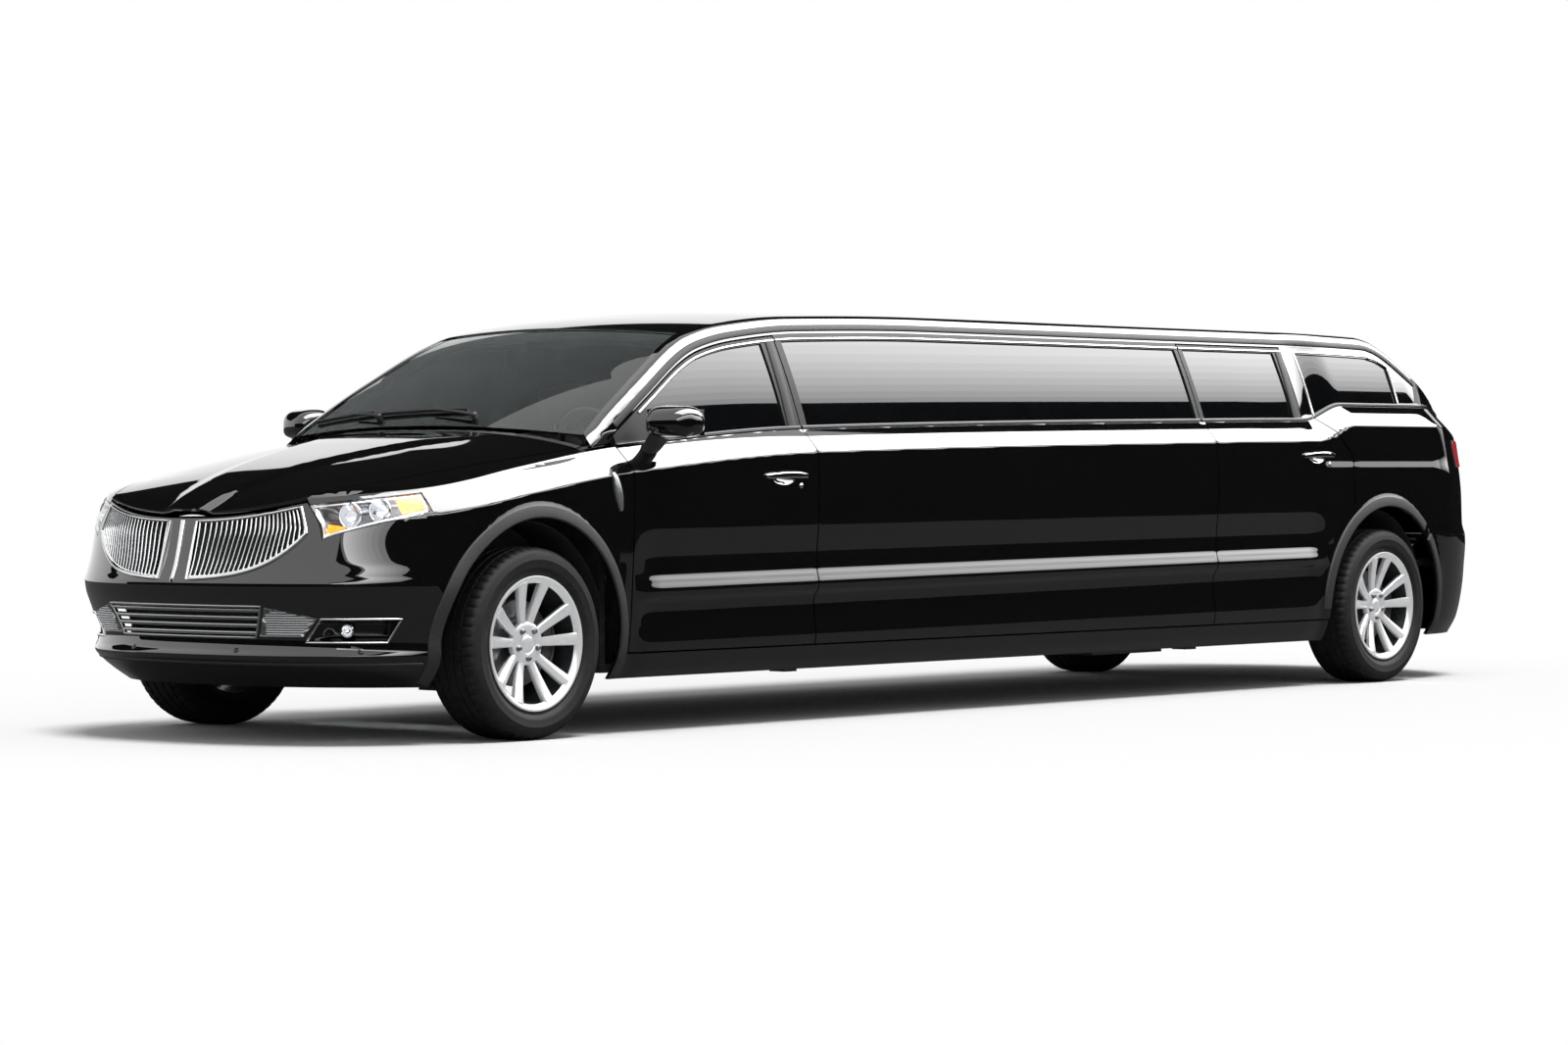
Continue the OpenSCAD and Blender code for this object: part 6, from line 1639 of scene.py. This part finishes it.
dash_lo, dash_hi = node_box("dashboard")
dash_section = [(0.0, 0.08), (0.0, 0.2), (0.03, 0.29), (0.08, 0.315), (0.16, 0.325), (0.345, 0.325),
                (0.352, 0.3), (0.352, 0.02), (0.1, 0.0)]
dash_y = np.linspace(-dash_hi[1] + 0.004, dash_hi[1] - 0.004, 40)
dash_path = stack(dash_lo[0], dash_y, dash_lo[2] + 0.004)
piece("dash_body", sweep(dash_path, dash_section, (0, 0, 1)), SATIN, replaces=["dashboard"], angle=30)
dash_face = dash_lo[0] - 0.001
dial = rounded(0.008, 0.012)
dials = [spun(dial + (r, 0.0), (dash_face + 0.004, seat_y + y, dash_lo[2] + 0.2), (-1, 0, 0.1))
         for y, r in ((-0.075, 0.055), (0.075, 0.055), (0.0, 0.025))]
piece("dash_dials", joined(dials), CHROME)


def across_dash(y0, y1, z, x, *section):
    """A bar across the dashboard's face."""
    return beam((dash_face + x, y0, dash_lo[2] + z), (dash_face + x, y1, dash_lo[2] + z), *section)


vents = [across_dash(y - 0.05, y + 0.05, z, 0.004, 0.006, 0.012)
         for y in (-0.64, -0.12, 0.12, 0.66) for z in (0.16, 0.175, 0.19, 0.205)]
piece("dash_vents", joined(vents), GLOSS)
piece("dash_wood_strip", across_dash(-0.7, 0.7, 0.12, 0.002, 0.012, 0.05, 3, 0.4), WOOD)

wheel_lo, wheel_hi = node_box("steering_wheel")
wheel_at = np.array((mix(wheel_lo[0], wheel_hi[0], 0.38), seat_y, mix(wheel_lo[2], wheel_hi[2], 0.5)))
wheel_axis = np.array(Vector((-0.93, 0, 0.37)).normalized())
grip_turn = np.array(Vector((0, 1, 0)).rotation_difference(Vector(wheel_axis)).to_matrix())
grip_r = TYRE_R * 0.49
boss = [(0.0, -0.03), (0.06, -0.03), (0.066, -0.005), (0.05, 0.012), (0.0, 0.018)]
grip_parts = [spun(rounded(0.028, 0.028, 5, 0.49) + (grip_r, 0.0), wheel_at, wheel_axis, 48),
              spun(boss, wheel_at, wheel_axis)]
for a in np.radians((0, 90, 180, 270)):
    arm_dir = grip_turn @ (math.sin(a), 0, math.cos(a))
    arm_from = wheel_at + arm_dir * 0.05 - wheel_axis * 0.008
    grip_parts.append(beam(arm_from, wheel_at + arm_dir * grip_r, 0.03, 0.014, out=wheel_axis))
column = beam(wheel_at - wheel_axis * 0.02, wheel_at - wheel_axis * 0.12, 0.06, 0.06, 4, out=(0, 1, 0))
piece("steering_wheel_grip", joined(grip_parts), LEATHER, replaces=["steering_wheel"])
piece("steering_column", column, SATIN)

wall_lo, wall_hi = node_box("partition")
part_x, part_z = (wall_lo[0] + wall_hi[0]) / 2, mix(wall_lo[2], wall_hi[2], 0.5)
part_wall = beam((part_x, -wall_hi[1], part_z), (part_x, wall_hi[1], part_z), 0.036,
                 wall_hi[2] - wall_lo[2] - 0.002, 3, 0.3)
piece("partition_wall", part_wall, SATIN, replaces=["partition"])
cap_y, cap_z = wall_hi[1] - 0.01, wall_hi[2] - 0.02
piece("partition_rail", beam((part_x, -cap_y, cap_z), (part_x, cap_y, cap_z), 0.046, 0.03), WOOD)

bar_lo, bar_hi = node_box("bar_cabinet")
bar_mid = (bar_lo + bar_hi) / 2
bar_size = bar_hi - bar_lo
BAR_DOORS = 5


def bar_x(k):
    """Place along the bar in doors."""
    return mix(bar_lo[0], bar_hi[0], k / BAR_DOORS)


carcass = [level(bar_lo[0], bar_hi[0], bar_mid[1] + 0.01, bar_mid[2] - 0.03, bar_size[1] - 0.03,
                 bar_size[2] - 0.062, 0.04)]
pulls = []
for k in range(BAR_DOORS):
    carcass.append(level(bar_x(k + 0.04), bar_x(k + 0.96), bar_lo[1] + 0.012, bar_mid[2] - 0.06, 0.02,
                         bar_size[2] * 0.68, 0.4))
    pulls.append(level(bar_x(k + 0.4), bar_x(k + 0.6), bar_lo[1] - 0.002, bar_mid[2] + 0.12, 0.012, 0.012,
                       0.48))
piece("bar_body", joined(carcass), WOOD, replaces=["bar_cabinet"])
bar_top = level(bar_lo[0] - 0.004, bar_hi[0] + 0.004, bar_mid[1], bar_hi[2] - 0.018, bar_size[1], 0.034)
piece("bar_top", bar_top, GLOSS)
piece("bar_pulls", joined(pulls), CHROME)


# Door cards with an armrest
def card_face(x, z):
    """Inner side of a door, padded between its edges."""
    return stack(x, inner_y - 0.012 - 0.006 * np.sin(unit((z - 0.4) / 0.6) * math.pi), z)


CARD_Z = (0.42, 1.05)
CARD_ENDS = {"f": (door1_f - DOOR_T * 1.5, door1_r + 0.06), "r": (door2_f - DOOR_T * 1.5, door2_r + 0.14)}
for key, ends in CARD_ENDS.items():
    body, title = f"door_{key}{{}}", ENDS[key]
    panel(f"door_card_{title}", [between(*CARD_Z, *ends)], (0.05, 0.03), card_face, 0.012, LEATHER, body,
          sides=2)
    rest_x = np.linspace(mix(*ends, 0.25), mix(*ends, 0.85), 14)
    rest = stack(rest_x, inner_y - 0.034, 0.74 + 0.02 * np.linspace(1, 0, 14))
    rest_taper = 0.5 + 0.5 * np.sin(np.linspace(0.3, math.pi - 0.3, 14))
    armrest = sweep(rest, rounded(0.055, 0.05, 5, 0.45), (0, 0, 1), taper=rest_taper)
    pair(f"door_armrest_{title}", armrest, SATIN, body)
    pull_x, pull_y = mix(*ends, 0.2), inner_y - 0.02
    release = beam((pull_x, pull_y, 0.88), (pull_x - 0.11, pull_y, 0.885), 0.02, 0.014, out=(0, 1, 0))
    pair(f"door_release_{title}", release, CHROME, body)


# Finishes of the parts that are shown as they are
FINISHES = {
    DARK: ("floor_pan", "firewall", "aprons", "hinge_posts"),
    IRON: ("front_subframe", "rear_subframe", "engine", "knuckle_l", "knuckle_r"),
    STEEL: ("struts", "exhaust")}
for finish, names in FINISHES.items():
    for name in names:
        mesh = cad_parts[name].data
        mesh.materials.clear()
        mesh.materials.append(finish)


# Floor, light and camera
def stage_plane(name, size, mat, place=(0, 0, 0), turn=(0, 0, 0)):
    """A flat board of the studio, which isn't part of the object."""
    mesh = bpy.data.meshes.new(name)
    w, h = size[0] / 2, size[1] / 2
    mesh.from_pydata([(-w, -h, 0), (w, -h, 0), (w, h, 0), (-w, h, 0)], [], [(0, 1, 2, 3)])
    mesh.materials.append(mat)
    obj = place_object(name, mesh, place, turn)
    return obj


def seen_directly(nodes, links):
    """1 for camera, glossy and transmission rays, which all show the white background."""
    path = nodes.new("ShaderNodeLightPath")
    first = nodes.new("ShaderNodeMath")
    second = nodes.new("ShaderNodeMath")
    for node in (first, second):
        node.operation = "MAXIMUM"
    links.new(path.outputs["Is Camera Ray"], first.inputs[0])
    links.new(path.outputs["Is Glossy Ray"], first.inputs[1])
    links.new(first.outputs[0], second.inputs[0])
    links.new(path.outputs["Is Transmission Ray"], second.inputs[1])
    return second.outputs[0]


def studio_world():
    """White where it is seen, a soft grey as light."""
    world = bpy.data.worlds.new("studio")
    bpy.context.scene.world = world
    world.use_nodes = True
    nodes, links = world.node_tree.nodes, world.node_tree.links
    strength = set_inputs(nodes.new("ShaderNodeMapRange"), To_Min=0.42, To_Max=1.0)
    links.new(seen_directly(nodes, links), strength.inputs["Value"])
    nodes["Background"].inputs["Color"].default_value = (1, 1, 1, 1)
    links.new(strength.outputs["Result"], nodes["Background"].inputs["Strength"])


def board_look(name, shade, rough=0.9):
    """A matt grey for cloth and floor."""
    mat = bpy.data.materials.new(name)
    mat.use_nodes = True
    set_inputs(mat.node_tree.nodes["Principled BSDF"], Base_Color=(shade, shade, shade, 1), Roughness=rough,
               Specular_IOR_Level=0.0)
    return mat


def softbox(name, size, place, aim, radiance):
    """A soft light that shows in gloss and leaves matt surfaces alone."""
    light = bpy.data.lights.new(name, "AREA")
    light.shape, light.size, light.size_y = "RECTANGLE", *size
    light.energy = radiance * math.pi * size[0] * size[1]
    turn = (Vector(aim) - Vector(place)).to_track_quat("-Z", "Y").to_euler()
    place_object(name, light, place, turn).visible_diffuse = False


studio_world()
stage_plane("floor", (160, 160), board_look("white_floor", 0.94, 1.0))
cloth, grey_cloth = board_look("flag_cloth", 0.012), board_look("floor_cloth", 0.1)
UPRIGHT, ACROSS, SLANTED = ((math.pi / 2, 0, a) for a in (0, math.pi / 2, math.radians(-40)))
# Boards that only gloss shows: size, cloth, place and turn
FLAGS = {
    "left_flag_low": ((50, 2.5), cloth, (-8, 7.0, 1.25), UPRIGHT),
    "left_flag_high": ((50, 1.3), cloth, (-8, 7.0, 6.0), UPRIGHT),
    "rear_flag": ((30, 9.0), cloth, (-33.0, 0.0, 4.5), ACROSS),
    "front_flag": ((34, 3.4), cloth, (13.0, -2.0, 1.7), ACROSS),
    "back_flag": ((44, 12.0), cloth, (-8.0, -10.0, 12.8), SLANTED),
    "floor_flag": ((70, 70), grey_cloth, (0, 0, 0.003), (0, 0, 0))}
for name, settings in FLAGS.items():
    flag = stage_plane(name, *settings)
    flag.visible_camera = flag.visible_diffuse = flag.visible_shadow = flag.visible_transmission = False
# One broad light overhead, then strips that fade it out to the left and brighten the side from below upward
TOP_Z, TOP_GLOW, TOP_FADE = 8.0, 7.5, 2.4
RIDGE_GLOW, STRIPS = (0.5, 3.6), 9
softbox("overhead", (30, 4.6), (-8, 3.1, TOP_Z), (-8, 3.1, 0), TOP_GLOW)
for i in range(STRIPS):
    y, z, share = 5.58 + 0.36 * i, 2.7 + 0.3 * i, i / (STRIPS - 1)
    softbox(f"overhead_{i}", (30, 0.36), (-8, y, TOP_Z), (-8, y, 0), mix(TOP_GLOW, TOP_FADE, share))
    softbox(f"ridge_strip_{i}", (50, 0.3), (-8, 7.3, z), (-8, 0, z), mix(*RIDGE_GLOW, share))
sun_data = bpy.data.lights.new("top_light", "SUN")
sun_data.energy, sun_data.angle = 2.1, math.radians(22)
place_object("top_light", sun_data, turn=(math.radians(-14), 0, 0)).visible_glossy = False

FOCAL_PX, FRAME_PX, HORIZON_PX, CENTRE_PX = 4637.2, 1600, 473.33, 533.0
CAMERA_AT, CAMERA_YAW = (15.908, 12.694, 1.0535), math.radians(-140.466)
camera_data = bpy.data.cameras.new("camera")
camera_data.sensor_width = 36
camera_data.lens = FOCAL_PX / FRAME_PX * camera_data.sensor_width
camera_data.shift_y = (HORIZON_PX - CENTRE_PX) / FRAME_PX
camera_data.clip_end = 500
camera = place_object("camera", camera_data, CAMERA_AT, (math.pi / 2, 0, CAMERA_YAW - math.pi / 2))
scene = bpy.context.scene
scene.camera = camera
scene.view_settings.view_transform = "Standard"

bpy.context.view_layer.update()
